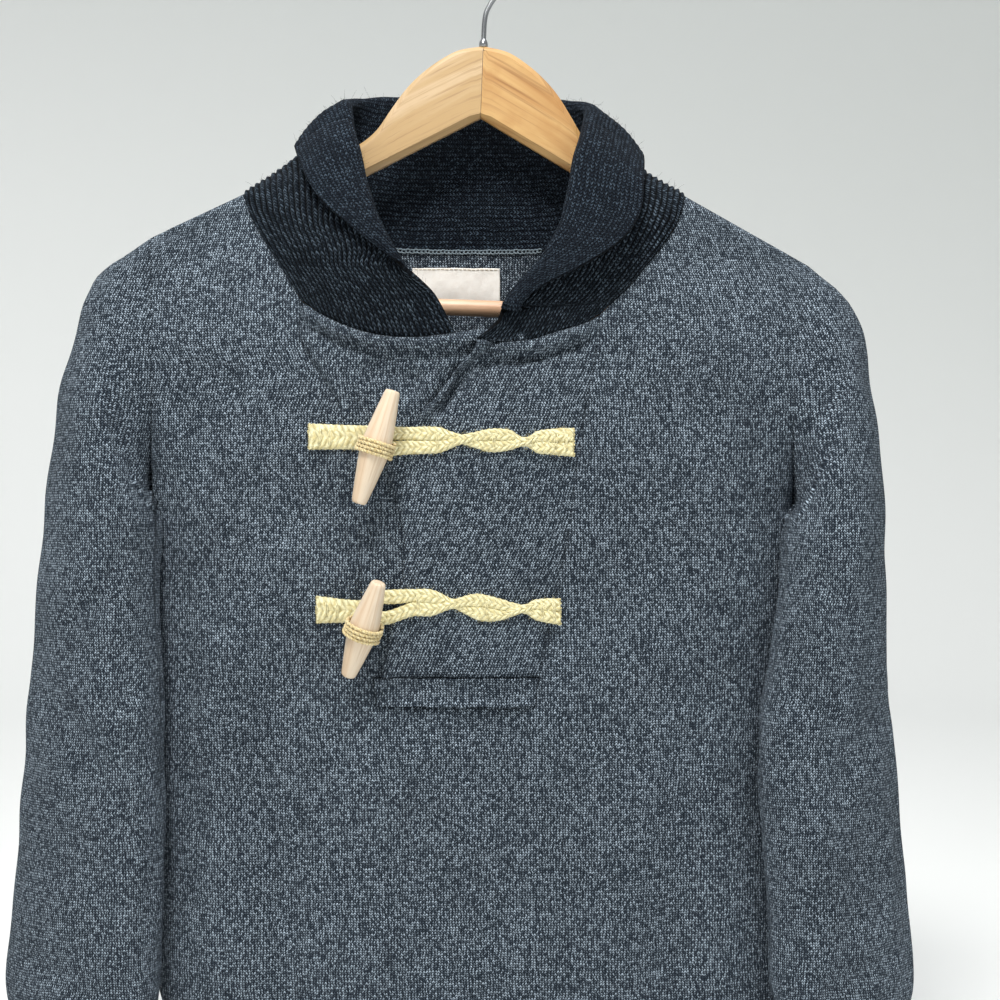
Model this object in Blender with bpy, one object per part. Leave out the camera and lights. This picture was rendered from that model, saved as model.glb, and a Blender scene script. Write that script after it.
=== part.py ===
"""Toggle neck sweater hanging on a wooden hanger, as closed solids.

Frame: metres, +Z up, the wearer's front faces -Y, and +X is the right of a viewer who faces it. The origin
is the seat of the hook, where the rod bears. "Left" and "right" below are the viewer's.

The knit is a wall between an outer and an inner grid of points. The body is one flattened tube, cut into a
front and a back panel; each sleeve starts on the armhole that both leave; the collar is one strip of
lengthwise ribs along the neck edge. The hanger hangs a little askew on its hook, right side low.
"""

import bisect
import math

import bmesh
import bpy
import numpy as np

# ---- cloth -------------------------------------------------------------------------------------------------
SEAM_GAP = 0.0003  # between pieces that are sewn to each other
LAY_GAP = 0.0004  # between a piece and what it lies on
KNIT_WALL = 0.0026
RIB_WALL = 0.0030  # plain thickness under the ribs of collar, hem and cuffs

# ---- hanger ------------------------------------------------------------------------------------------------
ROLL = math.radians(2.1)  # how far the hanger hangs askew
WOOD_TOP = 0.0862  # hook seat down to the top of the wood
ARM_THICK = 0.011
ARM_EDGE_ROUND = 0.0035
MITRE_DROP = 0.0540  # top of the wood down to the foot of the mitre
BAR_DROP = 0.1972
BAR_RADIUS = 0.0062
BAR_REACH = 0.1876
WIRE_RADIUS = 0.0019
HOOK_RADIUS = 0.0230
SHOULDER_START = (0.1553, 0.1066)  # along and down from the top of the wood, on the garment's shoulder line
SHOULDER_SLOPE = 0.5184
ARM_BELOW_CLOTH = 0.0062  # top of the arm under the cloth's outer line, which the arm rounds off

# Top edge of one arm: along, down from the top of the wood.
ARM_TOP = (
    (0.0000, 0.0000),
    (0.0189, 0.0040),
    (0.0342, 0.0130),
    (0.0464, 0.0230),
    (0.0575, 0.0351),
    (0.0686, 0.0517),
    (0.0769, 0.0648),
    (0.0860, 0.0740),
    (0.0960, 0.0806),
    (0.1200, 0.0950),
)
# End of one arm, round the lobe that carries the bar: along, down.
ARM_END = (
    (0.2190, 0.1500),
    (0.2235, 0.1550),
    (0.2250, 0.1600),
    (0.2220, 0.1780),
    (0.2165, 0.1960),
    (0.2080, 0.2060),
    (0.1960, 0.2080),
    (0.1880, 0.2060),
    (0.1880, 0.1860),
    (0.1820, 0.1700),
    (0.1700, 0.1540),
    (0.1500, 0.1370),
)

# ---- body --------------------------------------------------------------------------------------------------
BODY_CENTRE_X = -0.0115
SECTION_POWER = 2.6  # how square the body's flattened section is
BODY_BOTTOM = -0.8117
HEM_END = -0.8770
UNDERARM_Z = -0.4165
CORNER_Z = -0.2894  # the collar's corners on the front
WINDOW_BOTTOM = -0.5765  # foot of the placket
PLACKET_FOOT = -0.5557  # where the box piece starts
TIP_REACH = (-0.2445, 0.2503)  # shoulder tips, along the hanger from its middle
SHOULDER_RADIUS = 0.0115  # how the cloth rounds over the arm
SHOULDER_FALL = 0.050  # height over which it swings out to the chest
ARMHOLE_DEPTH = {"front": 0.031, "back": 0.027}

# Sides and depth of the body: height, left side, right side, front depth, back depth.
TORSO = (
    (-0.8770, -0.2380, 0.2140, 0.0370, 0.0310),
    (-0.8450, -0.2405, 0.2165, 0.0385, 0.0320),
    (-0.8117, -0.2425, 0.2185, 0.0400, 0.0330),
    (-0.7850, -0.2480, 0.2240, 0.0430, 0.0350),
    (-0.7000, -0.2485, 0.2235, 0.0445, 0.0360),
    (-0.6000, -0.2480, 0.2230, 0.0455, 0.0360),
    (-0.5000, -0.2495, 0.2260, 0.0455, 0.0355),
    (-0.4165, -0.2520, 0.2290, 0.0455, 0.0350),
    (-0.3400, -0.2500, 0.2290, 0.0455, 0.0345),
    (-0.2900, -0.2500, 0.2290, 0.0445, 0.0340),
    (-0.2400, -0.2500, 0.2300, 0.0420, 0.0335),
    (-0.1000, -0.2500, 0.2300, 0.0400, 0.0330),
)
# The lean of the level rows, since the shoulders hang askew: height, fall per metre to the right.
LEAN = ((-0.8770, 0.0), (-0.5765, 0.0), (-0.4165, 0.0353), (-0.2894, 0.0512))
# How far the armhole is set in from a straight line: share of its height, left inset, right inset.
ARMHOLE_INSET = ((0.0, 0.0, 0.0), (0.20, 0.0045, 0.0060), (0.50, 0.0080, 0.0100), (0.80, 0.0040, 0.0050),
                 (1.0, 0.0, 0.0))  # fmt: skip
# Levels of the rows of both panels, from the hem to the corners of the neck.
LEVELS = (BODY_BOTTOM, -0.780, -0.725, -0.665, -0.610, WINDOW_BOTTOM, PLACKET_FOOT, -0.510, -0.463, UNDERARM_Z,
          -0.4085, -0.3885, -0.3606, -0.3275, CORNER_Z)  # fmt: skip
# Rows above the corners, as shares of the way to the shoulder or neck.
TOP_SHARES = (0.33, 0.62, 0.84, 0.95, 1.0)
# Neck edge above the corners: share of the height, left x, right x.
NECK_EDGE = ((0.0, -0.1353, 0.0816), (0.19, -0.1475, 0.1037), (0.374, -0.1584, 0.1190), (0.53, -0.1668, 0.1301),
             (0.74, -0.1760, 0.1415), (1.0, -0.1832, 0.1488))  # fmt: skip
# Seams of the placket's window: height, left x, right x.
WINDOW_EDGE = (
    (-0.8770, -0.0800, 0.0350),
    (-0.5765, -0.0805, 0.0355),
    (-0.5400, -0.0850, 0.0405),
    (-0.4998, -0.0899, 0.0490),
    (-0.4494, -0.0914, 0.0590),
    (-0.4019, -0.0965, 0.0648),
    (-0.3572, -0.1085, 0.0720),
    (-0.3166, -0.1329, 0.0795),
    (-0.2831, -0.1353, 0.0816),
)
# Back neck edge: x, height.
BACK_NECK = (
    (-0.1832, -0.1962),
    (-0.1650, -0.2095),
    (-0.1400, -0.2225),
    (-0.1050, -0.2320),
    (-0.0600, -0.2360),
    (-0.0150, -0.2366),
    (0.0350, -0.2360),
    (0.0800, -0.2315),
    (0.1120, -0.2215),
    (0.1345, -0.2110),
    (0.1488, -0.1995),
)
# Large soft folds of the front: centre x, centre z, half width, half length, turn in degrees, depth.
FRONT_FOLDS = (
    (-0.156, -0.700, 0.020, 0.115, 4.0, -0.0055),
    (-0.200, -0.690, 0.018, 0.120, 2.0, 0.0025),
    (0.004, -0.760, 0.018, 0.070, 0.0, -0.0030),
    (0.142, -0.700, 0.020, 0.120, -5.0, -0.0055),
    (0.100, -0.720, 0.018, 0.100, -3.0, 0.0020),
    (0.165, -0.335, 0.030, 0.030, 0.0, 0.0025),
    (-0.195, -0.330, 0.016, 0.060, 20.0, -0.0025),
)
BACK_FOLDS = (
    (-0.120, -0.640, 0.022, 0.150, 5.0, -0.0055),
    (-0.030, -0.560, 0.020, 0.190, -2.0, -0.0040),
    (0.090, -0.650, 0.024, 0.150, -4.0, -0.0055),
    (-0.020, -0.300, 0.060, 0.022, 0.0, -0.0025),
)

# ---- sleeves -----------------------------------------------------------------------------------------------
# Rings down a sleeve: outer x, outer z, inner x, inner z, inner y, half thickness.
LEFT_SLEEVE = (
    (-0.2815, -0.2490, -0.2535, -0.4130, -0.0060, 0.0320),
    (-0.2915, -0.2600, -0.2528, -0.4170, -0.0110, 0.0345),
    (-0.2995, -0.2785, -0.2512, -0.4230, -0.0170, 0.0365),
    (-0.3060, -0.3086, -0.2465, -0.4310, -0.0290, 0.0380),
    (-0.3117, -0.3384, -0.2420, -0.4420, -0.0360, 0.0385),
    (-0.3154, -0.3682, -0.2400, -0.4540, -0.0400, 0.0380),
    (-0.3200, -0.4040, -0.2395, -0.4700, -0.0420, 0.0365),
    (-0.3250, -0.4420, -0.2390, -0.4880, -0.0430, 0.0350),
    (-0.3325, -0.5172, -0.2365, -0.5300, -0.0430, 0.0325),
    (-0.3380, -0.5680, -0.2340, -0.5720, -0.0440, 0.0310),
    (-0.3420, -0.6220, -0.2325, -0.6240, -0.0440, 0.0295),
    (-0.3462, -0.6760, -0.2330, -0.6770, -0.0440, 0.0280),
    (-0.3520, -0.7258, -0.2350, -0.7260, -0.0440, 0.0268),
    (-0.3572, -0.7800, -0.2375, -0.7800, -0.0430, 0.0258),
    (-0.3500, -0.8210, -0.2460, -0.8210, -0.0400, 0.0225),
)
RIGHT_SLEEVE = (
    (0.2610, -0.2675, 0.2305, -0.4290, -0.0060, 0.0320),
    (0.2705, -0.2785, 0.2300, -0.4325, -0.0110, 0.0345),
    (0.2768, -0.2940, 0.2290, -0.4370, -0.0170, 0.0360),
    (0.2785, -0.3130, 0.2235, -0.4430, -0.0290, 0.0370),
    (0.2808, -0.3420, 0.2195, -0.4520, -0.0360, 0.0378),
    (0.2835, -0.3720, 0.2175, -0.4620, -0.0400, 0.0375),
    (0.2862, -0.4060, 0.2160, -0.4750, -0.0420, 0.0365),
    (0.2885, -0.4420, 0.2140, -0.4900, -0.0430, 0.0350),
    (0.2908, -0.4980, 0.2110, -0.5180, -0.0440, 0.0330),
    (0.2930, -0.5350, 0.2070, -0.5430, -0.0445, 0.0315),
    (0.2970, -0.5768, 0.1990, -0.5800, -0.0460, 0.0300),
    (0.3020, -0.6280, 0.1965, -0.6290, -0.0470, 0.0285),
    (0.3060, -0.6760, 0.2010, -0.6765, -0.0465, 0.0272),
    (0.3110, -0.7258, 0.2035, -0.7260, -0.0455, 0.0260),
    (0.3160, -0.7780, 0.2055, -0.7780, -0.0445, 0.0250),
    (0.3085, -0.8160, 0.2150, -0.8160, -0.0415, 0.0220),
)
OUTER_EDGE_Y = -0.0100  # the sleeve's outer edge lies a little in front of the hanger
BODY_CLEARANCE = 0.0040  # sleeve to body, beside and in front of it
CUFF_LENGTH = 0.0560
CUFF_SHRINK = 0.94  # a cuff's width at its end, against its top

# ---- ribs --------------------------------------------------------------------------------------------------
COLLAR_RIBS = 24
COLLAR_RIB_HEIGHT = 0.0014
COLLAR_RIB_SHARE = 0.26  # and at most this share of a rib's width
HEM_RIBS = 104
CUFF_RIBS = 26
BAND_RIB_HEIGHT = 0.0012
PLAIN_STEP = {"collar": 3, "band": 4}  # rib points for each point of the plain inside

# ---- collar ------------------------------------------------------------------------------------------------
# Sections of the strip's plain face. Station: 0 left corner, 1 left shoulder, 2 middle of the back, 3 right
# shoulder, 4 right corner. Then the stand's knee, the start of the roll and the free edge (x, y, z each), the
# roll's radius and how far the fall puffs out.
COLLAR = (
    (0.00, -0.0920, -0.0405, -0.3030, -0.0480, -0.0420, -0.3090, -0.0228, -0.0430, -0.3065, 0.0300, 0.0000),
    (0.15, -0.0980, -0.0430, -0.2830, -0.0560, -0.0455, -0.2830, -0.0365, -0.0480, -0.2810, 0.0180, 0.0000),
    (0.22, -0.1020, -0.0440, -0.2720, -0.0600, -0.0470, -0.2710, -0.0460, -0.0520, -0.2710, 0.0100, 0.0000),
    (0.30, -0.1060, -0.0455, -0.2620, -0.0635, -0.0480, -0.2600, -0.0570, -0.0560, -0.2620, 0.0065, 0.0000),
    (0.45, -0.1180, -0.0455, -0.2440, -0.0720, -0.0470, -0.2450, -0.0800, -0.0580, -0.2470, 0.0062, 0.0010),
    (0.60, -0.1270, -0.0420, -0.2300, -0.0815, -0.0430, -0.2280, -0.0980, -0.0560, -0.2320, 0.0062, 0.0015),
    (0.75, -0.1360, -0.0355, -0.2100, -0.0910, -0.0320, -0.2060, -0.1190, -0.0490, -0.2120, 0.0065, 0.0020),
    (0.88, -0.1440, -0.0240, -0.1930, -0.0980, -0.0200, -0.1810, -0.1330, -0.0360, -0.1905, 0.0065, 0.0030),
    (1.00, -0.1460, -0.0050, -0.1780, -0.1030, -0.0060, -0.1540, -0.1440, -0.0080, -0.1655, 0.0065, 0.0030),
    (1.14, -0.1480, 0.0060, -0.1760, -0.1050, 0.0050, -0.1380, -0.1450, 0.0050, -0.1590, 0.0070, 0.0040),
    (1.30, -0.1350, 0.0170, -0.1780, -0.1020, 0.0170, -0.1280, -0.1340, 0.0250, -0.1545, 0.0070, 0.0040),
    (1.42, -0.1120, 0.0270, -0.1780, -0.0920, 0.0260, -0.1220, -0.1100, 0.0410, -0.1520, 0.0070, 0.0020),
    (1.60, -0.0750, 0.0310, -0.1780, -0.0680, 0.0310, -0.1200, -0.0740, 0.0470, -0.1500, 0.0070, 0.0010),
    (2.00, -0.0150, 0.0320, -0.1780, -0.0150, 0.0330, -0.1200, -0.0150, 0.0490, -0.1500, 0.0070, 0.0010),
    (2.40, 0.0440, 0.0310, -0.1780, 0.0400, 0.0310, -0.1215, 0.0440, 0.0470, -0.1510, 0.0070, 0.0010),
    (2.58, 0.0820, 0.0270, -0.1800, 0.0620, 0.0260, -0.1250, 0.0800, 0.0410, -0.1540, 0.0070, 0.0020),
    (2.70, 0.1010, 0.0170, -0.1810, 0.0720, 0.0170, -0.1310, 0.1020, 0.0250, -0.1590, 0.0070, 0.0040),
    (2.86, 0.1140, 0.0060, -0.1800, 0.0750, 0.0050, -0.1430, 0.1160, 0.0040, -0.1660, 0.0070, 0.0040),
    (3.00, 0.1130, -0.0050, -0.1830, 0.0740, -0.0070, -0.1580, 0.1175, -0.0090, -0.1720, 0.0070, 0.0030),
    (3.12, 0.1100, -0.0240, -0.1960, 0.0700, -0.0200, -0.1800, 0.1140, -0.0370, -0.1950, 0.0070, 0.0030),
    (3.25, 0.1040, -0.0370, -0.2110, 0.0660, -0.0320, -0.2030, 0.1050, -0.0500, -0.2210, 0.0068, 0.0020),
    (3.40, 0.0920, -0.0440, -0.2310, 0.0580, -0.0410, -0.2280, 0.0860, -0.0570, -0.2410, 0.0065, 0.0020),
    (3.56, 0.0770, -0.0460, -0.2520, 0.0450, -0.0450, -0.2510, 0.0620, -0.0600, -0.2590, 0.0062, 0.0010),
    (3.72, 0.0620, -0.0460, -0.2700, 0.0290, -0.0465, -0.2690, 0.0420, -0.0590, -0.2740, 0.0060, 0.0000),
    (3.84, 0.0570, -0.0450, -0.2840, 0.0190, -0.0470, -0.2830, 0.0255, -0.0560, -0.2860, 0.0070, 0.0000),
    (3.91, 0.0540, -0.0450, -0.2920, 0.0160, -0.0470, -0.2930, 0.0100, -0.0515, -0.2965, 0.0090, 0.0000),
    (3.96, 0.0520, -0.0445, -0.3000, 0.0150, -0.0465, -0.3030, 0.0010, -0.0485, -0.3050, 0.0160, 0.0000),
    (4.00, 0.0500, -0.0440, -0.3070, 0.0150, -0.0460, -0.3120, -0.0078, -0.0465, -0.3115, 0.0300, 0.0000),
)
COLLAR_STEP = 0.0300  # largest step between sections, anywhere on the strip

# Seams under the strip's short ends, which are the plackets' top edges: x, height.
LEFT_END = (
    (-0.1349, -0.2825),
    (-0.1200, -0.2925),
    (-0.1053, -0.2998),
    (-0.0908, -0.3050),
    (-0.0743, -0.3086),
    (-0.0597, -0.3098),
    (-0.0415, -0.3092),
    (-0.0228, -0.3067),
    (-0.0100, -0.3045),
    (0.0600, -0.3020),
)
RIGHT_END = (
    (-0.0078, -0.3115),
    (0.0080, -0.3127),
    (0.0204, -0.3128),
    (0.0330, -0.3114),
    (0.0447, -0.3084),
    (0.0610, -0.3034),
    (0.0731, -0.2984),
    (0.0804, -0.2934),
)

# ---- placket -----------------------------------------------------------------------------------------------
# Free edge of the over placket: height, x.
OVERLAP_EDGE = (
    (-0.5600, -0.0765),
    (-0.5281, -0.0708),
    (-0.4922, -0.0622),
    (-0.4540, -0.0592),
    (-0.4280, -0.0650),
    (-0.4027, -0.0725),
    (-0.3848, -0.0622),
    (-0.3610, -0.0450),
    (-0.3447, -0.0339),
    (-0.3301, -0.0212),
    (-0.3210, -0.0110),
    (-0.3113, -0.0078),
)
UNDERLAP = 0.035  # how far the under placket runs on beneath the over placket
OVER_LIFT = 0.0033
OVER_SETTLE = 0.030  # width over which the over placket comes down to its seam
BOX_LIFT = 0.0014
PLACKET_COLUMNS = 9

# ---- label -------------------------------------------------------------------------------------------------
LABEL = {"left": -0.0586, "right": 0.0094, "top": -0.2482, "bottom": -0.2755}
LABEL_THICK = 0.0010
LABEL_OFF = 0.0016  # off the back panel's inner face

# ---- toggles -----------------------------------------------------------------------------------------------
BRAID_THICK = 0.0030
LOOP_THICK = 0.0032
BRAID_CROWN = 0.0008
TOGGLE_WAIST = 0.0110
TOGGLE_END = 0.0052
WRAP_TURNS = 3
TWINE = 0.0026

# Upper: x, top z, bottom z along the braid loop, from its bend behind the toggle to its sewn end.
UPPER_LOOP = (
    (-0.0930, -0.3790, -0.3960),
    (-0.0850, -0.3745, -0.3985),
    (-0.0646, -0.3750, -0.3955),
    (-0.0427, -0.3755, -0.3950),
    (-0.0334, -0.3760, -0.3940),
    (-0.0172, -0.3800, -0.3890),
    (0.0023, -0.3768, -0.3935),
    (0.0160, -0.3775, -0.3925),
    (0.0270, -0.3818, -0.3905),
    (0.0450, -0.3780, -0.3945),
    (0.0622, -0.3763, -0.3964),
)
LOWER_LOOP = (
    (-0.0930, -0.4950, -0.5165),
    (-0.0850, -0.4925, -0.5180),
    (-0.0712, -0.4922, -0.5170),
    (-0.0530, -0.4915, -0.5110),
    (-0.0400, -0.4922, -0.5108),
    (-0.0240, -0.4975, -0.5072),
    (-0.0060, -0.4948, -0.5140),
    (0.0110, -0.4988, -0.5142),
    (0.0252, -0.5030, -0.5094),
    (0.0400, -0.4995, -0.5130),
    (0.0520, -0.4982, -0.5175),
)
# Name, toggle middle (x, z), length, lean in the picture and out of the cloth (degrees), how far the wrap stays
# off the loop, the loop, and the tab's x, top z and bottom z.
TOGGLES = (
    {"name": "upper", "x": -0.0781, "z": -0.3905, "length": 0.0830, "lean": 17.1, "tilt": 2.0, "off": 0.0008,
     "loop": UPPER_LOOP, "tab": ((-0.1278, -0.3728, -0.3915), (-0.0950, -0.3740, -0.3915), (-0.0670, -0.3745, -0.3930))},
    {"name": "lower", "x": -0.0868, "z": -0.5190, "length": 0.0740, "lean": 19.2, "tilt": 15.0, "off": 0.0000,
     "loop": LOWER_LOOP, "tab": ((-0.1221, -0.4969, -0.5168), (-0.0990, -0.4995, -0.5160), (-0.0770, -0.5000, -0.5170))},
)  # fmt: skip

# Colour (linear RGB), roughness, metallic.
FINISHES = {
    "body knit": ((0.036, 0.046, 0.062), 0.95, 0.0),
    "rib knit": ((0.012, 0.016, 0.025), 0.95, 0.0),
    "braid": ((0.66, 0.58, 0.28), 0.85, 0.0),
    "toggle wood": ((0.74, 0.56, 0.38), 0.55, 0.0),
    "hanger wood": ((0.62, 0.38, 0.17), 0.45, 0.0),
    "bar wood": ((0.66, 0.42, 0.30), 0.50, 0.0),
    "label": ((0.78, 0.74, 0.66), 0.80, 0.0),
    "steel": ((0.30, 0.30, 0.31), 0.30, 1.0),
}


# ---- tables and small maths --------------------------------------------------------------------------------
def row_at(table, at):
    """The other columns of a table at one value of its first column, smooth between its rows."""
    keys = [row[0] for row in table]
    values = np.array([row[1:] for row in table])
    at = min(max(at, keys[0]), keys[-1])
    i = min(max(bisect.bisect_right(keys, at) - 1, 0), len(keys) - 2)
    last = len(keys) - 1

    def slope(k):
        before, after = max(k - 1, 0), min(k + 1, last)
        return (values[after] - values[before]) / (keys[after] - keys[before])

    span = keys[i + 1] - keys[i]
    t = (at - keys[i]) / span
    start, end = values[i], values[i + 1]
    return (
        (2 * t**3 - 3 * t**2 + 1) * start
        + (t**3 - 2 * t**2 + t) * span * slope(i)
        + (3 * t**2 - 2 * t**3) * end
        + (t**3 - t**2) * span * slope(i + 1)
    )


def mix(a, b, share):
    return a + (b - a) * share


def smooth(t):
    t = min(max(t, 0.0), 1.0)
    return t * t * (3 - 2 * t)


def unit(vector):
    return vector / np.linalg.norm(vector)


def askew(along, down):
    """A point of the hanger, in its own upright frame, as it hangs: x and z."""
    z = -WOOD_TOP - down
    return (
        along * math.cos(ROLL) + z * math.sin(ROLL),
        -along * math.sin(ROLL) + z * math.cos(ROLL),
    )


# ---- solids from grids of points ---------------------------------------------------------------------------
def finish(name):
    """The material of that name, made once."""
    material = bpy.data.materials.get(name)
    if material is None:
        colour, roughness, metallic = FINISHES[name]
        material = bpy.data.materials.new(name)
        material.use_nodes = True
        shader = material.node_tree.nodes["Principled BSDF"]
        shader.inputs["Base Color"].default_value = (*colour, 1.0)
        shader.inputs["Roughness"].default_value = roughness
        shader.inputs["Metallic"].default_value = metallic
        material.diffuse_color = (*colour, 1.0)
    return material


def add_object(name, points, faces, look, parent=None):
    """A closed mesh object with its faces pointing out."""
    made = bmesh.new()
    corners = [made.verts.new(tuple(point)) for point in points]
    for face in faces:
        made.faces.new([corners[i] for i in face])
    bmesh.ops.recalc_face_normals(made, faces=made.faces)
    mesh = bpy.data.meshes.new(name)
    made.to_mesh(mesh)
    made.free()
    mesh.shade_smooth()
    mesh.set_sharp_from_angle(angle=math.radians(50))
    mesh.materials.append(finish(look))
    obj = bpy.data.objects.new(name, mesh)
    bpy.context.scene.collection.objects.link(obj)
    obj.parent = parent
    return obj


def wall(name, outer, inner, look, closed=False, present=None, parent=None):
    """A wall between two grids of the same size, with a rim round every edge of the squares that are present."""
    rows, columns = len(outer), len(outer[0])
    across = columns if closed else columns - 1
    points = [p for row in outer for p in row] + [p for row in inner for p in row]
    below = rows * columns

    def at(r, c):
        return r * columns + c % columns

    faces, edges = [], {}
    for r in range(rows - 1):
        for c in range(across):
            if present is not None and not present(r, c):
                continue
            square = (at(r, c), at(r, c + 1), at(r + 1, c + 1), at(r + 1, c))
            faces.append(square)
            faces.append(tuple(below + i for i in reversed(square)))
            for a, b in zip(square, square[1:] + square[:1]):
                edges[a, b] = True
    for a, b in edges:
        if (b, a) not in edges:
            faces.append((b, a, below + a, below + b))
    used = sorted({i for face in faces for i in face})
    place = {old: new for new, old in enumerate(used)}
    return add_object(
        name,
        [points[i] for i in used],
        [[place[i] for i in face] for face in faces],
        look,
        parent,
    )


def ribbed_wall(name, ribbed, plain, step, look, closed):
    """A wall whose outer grid has `step` columns for each column of its plain inside."""
    rows, fine, coarse = len(ribbed), len(ribbed[0]), len(plain[0])
    points = [p for row in ribbed for p in row] + [p for row in plain for p in row]
    below = rows * fine

    def outside(r, c):
        return r * fine + c % fine

    def inside(r, c):
        return below + r * coarse + c % coarse

    across = coarse if closed else coarse - 1
    faces = []
    for r in range(rows - 1):
        for c in range(across * step):
            faces.append((outside(r, c), outside(r, c + 1), outside(r + 1, c + 1), outside(r + 1, c)))
        for c in range(across):
            faces.append((inside(r, c), inside(r + 1, c), inside(r + 1, c + 1), inside(r, c + 1)))
    for r in (0, rows - 1):
        for c in range(across):
            ribs = [outside(r, c * step + k) for k in range(step + 1)]
            rim = [inside(r, c), inside(r, c + 1), *reversed(ribs)]
            faces.append(rim if r == 0 else rim[::-1])
    if not closed:
        for r in range(rows - 1):
            faces.append((outside(r, 0), outside(r + 1, 0), inside(r + 1, 0), inside(r, 0)))
            end, back = across * step, across
            faces.append((outside(r, end), inside(r, back), inside(r + 1, back), outside(r + 1, end)))
    return add_object(name, points, faces, look)


# ---- body --------------------------------------------------------------------------------------------------
def shoulder_z(x):
    """Height of the shoulder line, carried on over the neck."""
    side = -1 if x < BODY_CENTRE_X else 1
    near = askew(side * SHOULDER_START[0], SHOULDER_START[1])
    along = 0.1
    far = askew(side * (SHOULDER_START[0] + along), SHOULDER_START[1] + SHOULDER_SLOPE * along)
    return mix(near[1], far[1], (x - near[0]) / (far[0] - near[0]))


def shoulder_tip(side):
    """x and z of the shoulder tip on one side."""
    reach = TIP_REACH[0 if side < 0 else 1]
    down = SHOULDER_START[1] + SHOULDER_SLOPE * (abs(reach) - SHOULDER_START[0])
    return askew(reach, down)


def leaning(level, x):
    """Height of a level row at x."""
    return level - row_at(LEAN, level)[0] * (x - BODY_CENTRE_X)


def underarm(side):
    """x and z where the armhole meets the side seam."""
    x = row_at(TORSO, UNDERARM_Z)[0 if side < 0 else 1]
    return x, leaning(UNDERARM_Z, x)


def armhole_share(side, z):
    """How far up its armhole a height lies: 0 at the underarm and below, 1 at the shoulder tip."""
    bottom, top = underarm(side)[1], shoulder_tip(side)[1]
    return min(max((z - bottom) / (top - bottom), 0.0), 1.0)


def side_x(side, z):
    """x of the side seam, or of the armhole above it."""
    share = armhole_share(side, z)
    if share <= 0:
        return row_at(TORSO, z)[0 if side < 0 else 1]
    inset = row_at(ARMHOLE_INSET, share)[0 if side < 0 else 1]
    return mix(underarm(side)[0], shoulder_tip(side)[0], share) - side * inset


def fold_relief(folds, x, z):
    """How far large soft folds raise (or sink) the cloth at a point."""
    relief = 0.0
    for centre_x, centre_z, half_width, half_length, turn, depth in folds:
        cos, sin = math.cos(math.radians(turn)), math.sin(math.radians(turn))
        across = (x - centre_x) * cos + (z - centre_z) * sin
        along = (z - centre_z) * cos - (x - centre_x) * sin
        relief += depth * math.exp(-((across / half_width) ** 2) - (along / half_length) ** 2)
    return relief


def body_depth(facing, x, z):
    """How far the outer surface of the body stands out from the plane of the seams, at a point of that plane."""
    side = -1 if x < BODY_CENTRE_X else 1
    edge = side_x(side, z)
    across = min(abs(x - BODY_CENTRE_X) / abs(edge - BODY_CENTRE_X), 1.0)
    middle = row_at(TORSO, z)[2 if facing == "front" else 3]
    share = armhole_share(side, z)
    squared = (1 - across**SECTION_POWER) ** (1 / SECTION_POWER)
    gentle = 1 - across**2.4
    profile = mix(gentle, squared, 1 - smooth(share / 0.45))
    at_armhole = ARMHOLE_DEPTH[facing] * math.sin(math.pi * share) ** 0.75 if 0 < share < 1 else 0.0
    depth = mix(at_armhole, middle, profile)
    folds = FRONT_FOLDS if facing == "front" else BACK_FOLDS
    depth += fold_relief(folds, x, z) * smooth((1 - across) / 0.2)
    below = max(shoulder_z(x) - z, 0.0)
    over = 1 - min(below, SHOULDER_RADIUS) / SHOULDER_RADIUS
    rounding = SHOULDER_RADIUS * math.sqrt(1 - over**2)
    swing = 1 - math.exp(-((below / SHOULDER_FALL) ** 1.2))
    return rounding + (depth - rounding) * swing if depth > rounding else min(depth, rounding)


def body_point(facing, turn, z):
    """A point of the outer surface. `turn` goes from -90 degrees at the left edge to 90 at the right one."""
    side = -1 if turn < 0 else 1
    x = BODY_CENTRE_X + abs(side_x(side, z) - BODY_CENTRE_X) * math.sin(turn)
    sign = -1 if facing == "front" else 1
    return np.array([x, sign * max(body_depth(facing, x, z), SEAM_GAP / 2), z])


def body_turn(x, z):
    """The turn at which body_point has that x."""
    side = -1 if x < BODY_CENTRE_X else 1
    reach = abs(side_x(side, z) - BODY_CENTRE_X)
    return math.asin(min(max((x - BODY_CENTRE_X) / reach, -1.0), 1.0))


def body_normal(facing, turn, z):
    """Unit normal of the outer surface, facing out."""
    step, rise = 0.01, 0.0006
    low, high = max(turn - step, -math.pi / 2), min(turn + step, math.pi / 2)
    x = body_point(facing, turn, z)[0]
    top = min(z + rise, max(shoulder_z(x), z))
    bottom = top - 2 * rise
    across = body_point(facing, high, z) - body_point(facing, low, z)
    along = body_point(facing, turn, top) - body_point(facing, turn, bottom)
    normal = unit(np.cross(across, along))
    return normal if facing == "front" else -normal


def wall_pair(facing, turn, z):
    """Outer and inner point of the knit at one place, the inner one kept on its own side of the seams."""
    outer = body_point(facing, turn, z)
    inner = outer - body_normal(facing, turn, z) * KNIT_WALL
    if facing == "front":
        inner[1] = min(inner[1], -SEAM_GAP / 2)
    else:
        inner[1] = max(inner[1], SEAM_GAP / 2)
    return outer, inner


def neck_x(side, z_or_share, above):
    """x of the front panel's inner edge: the neck above the corners, the placket's seams below them."""
    table = NECK_EDGE if above else WINDOW_EDGE
    return row_at(table, z_or_share)[0 if side < 0 else 1]


def panel_rows():
    """Every row of a panel: its level and, above the corners, its share of the way up."""
    return [(level, None) for level in LEVELS] + [(CORNER_Z, share) for share in TOP_SHARES]


def column_place(row, x_side, x_inner, share, top):
    """x and z of one column's point in one row, between a side edge and an inner line."""
    level, up = row
    x = mix(x_side, x_inner, share)
    z = leaning(level, x)
    return z if up is None else mix(z, top(x), up)


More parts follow.
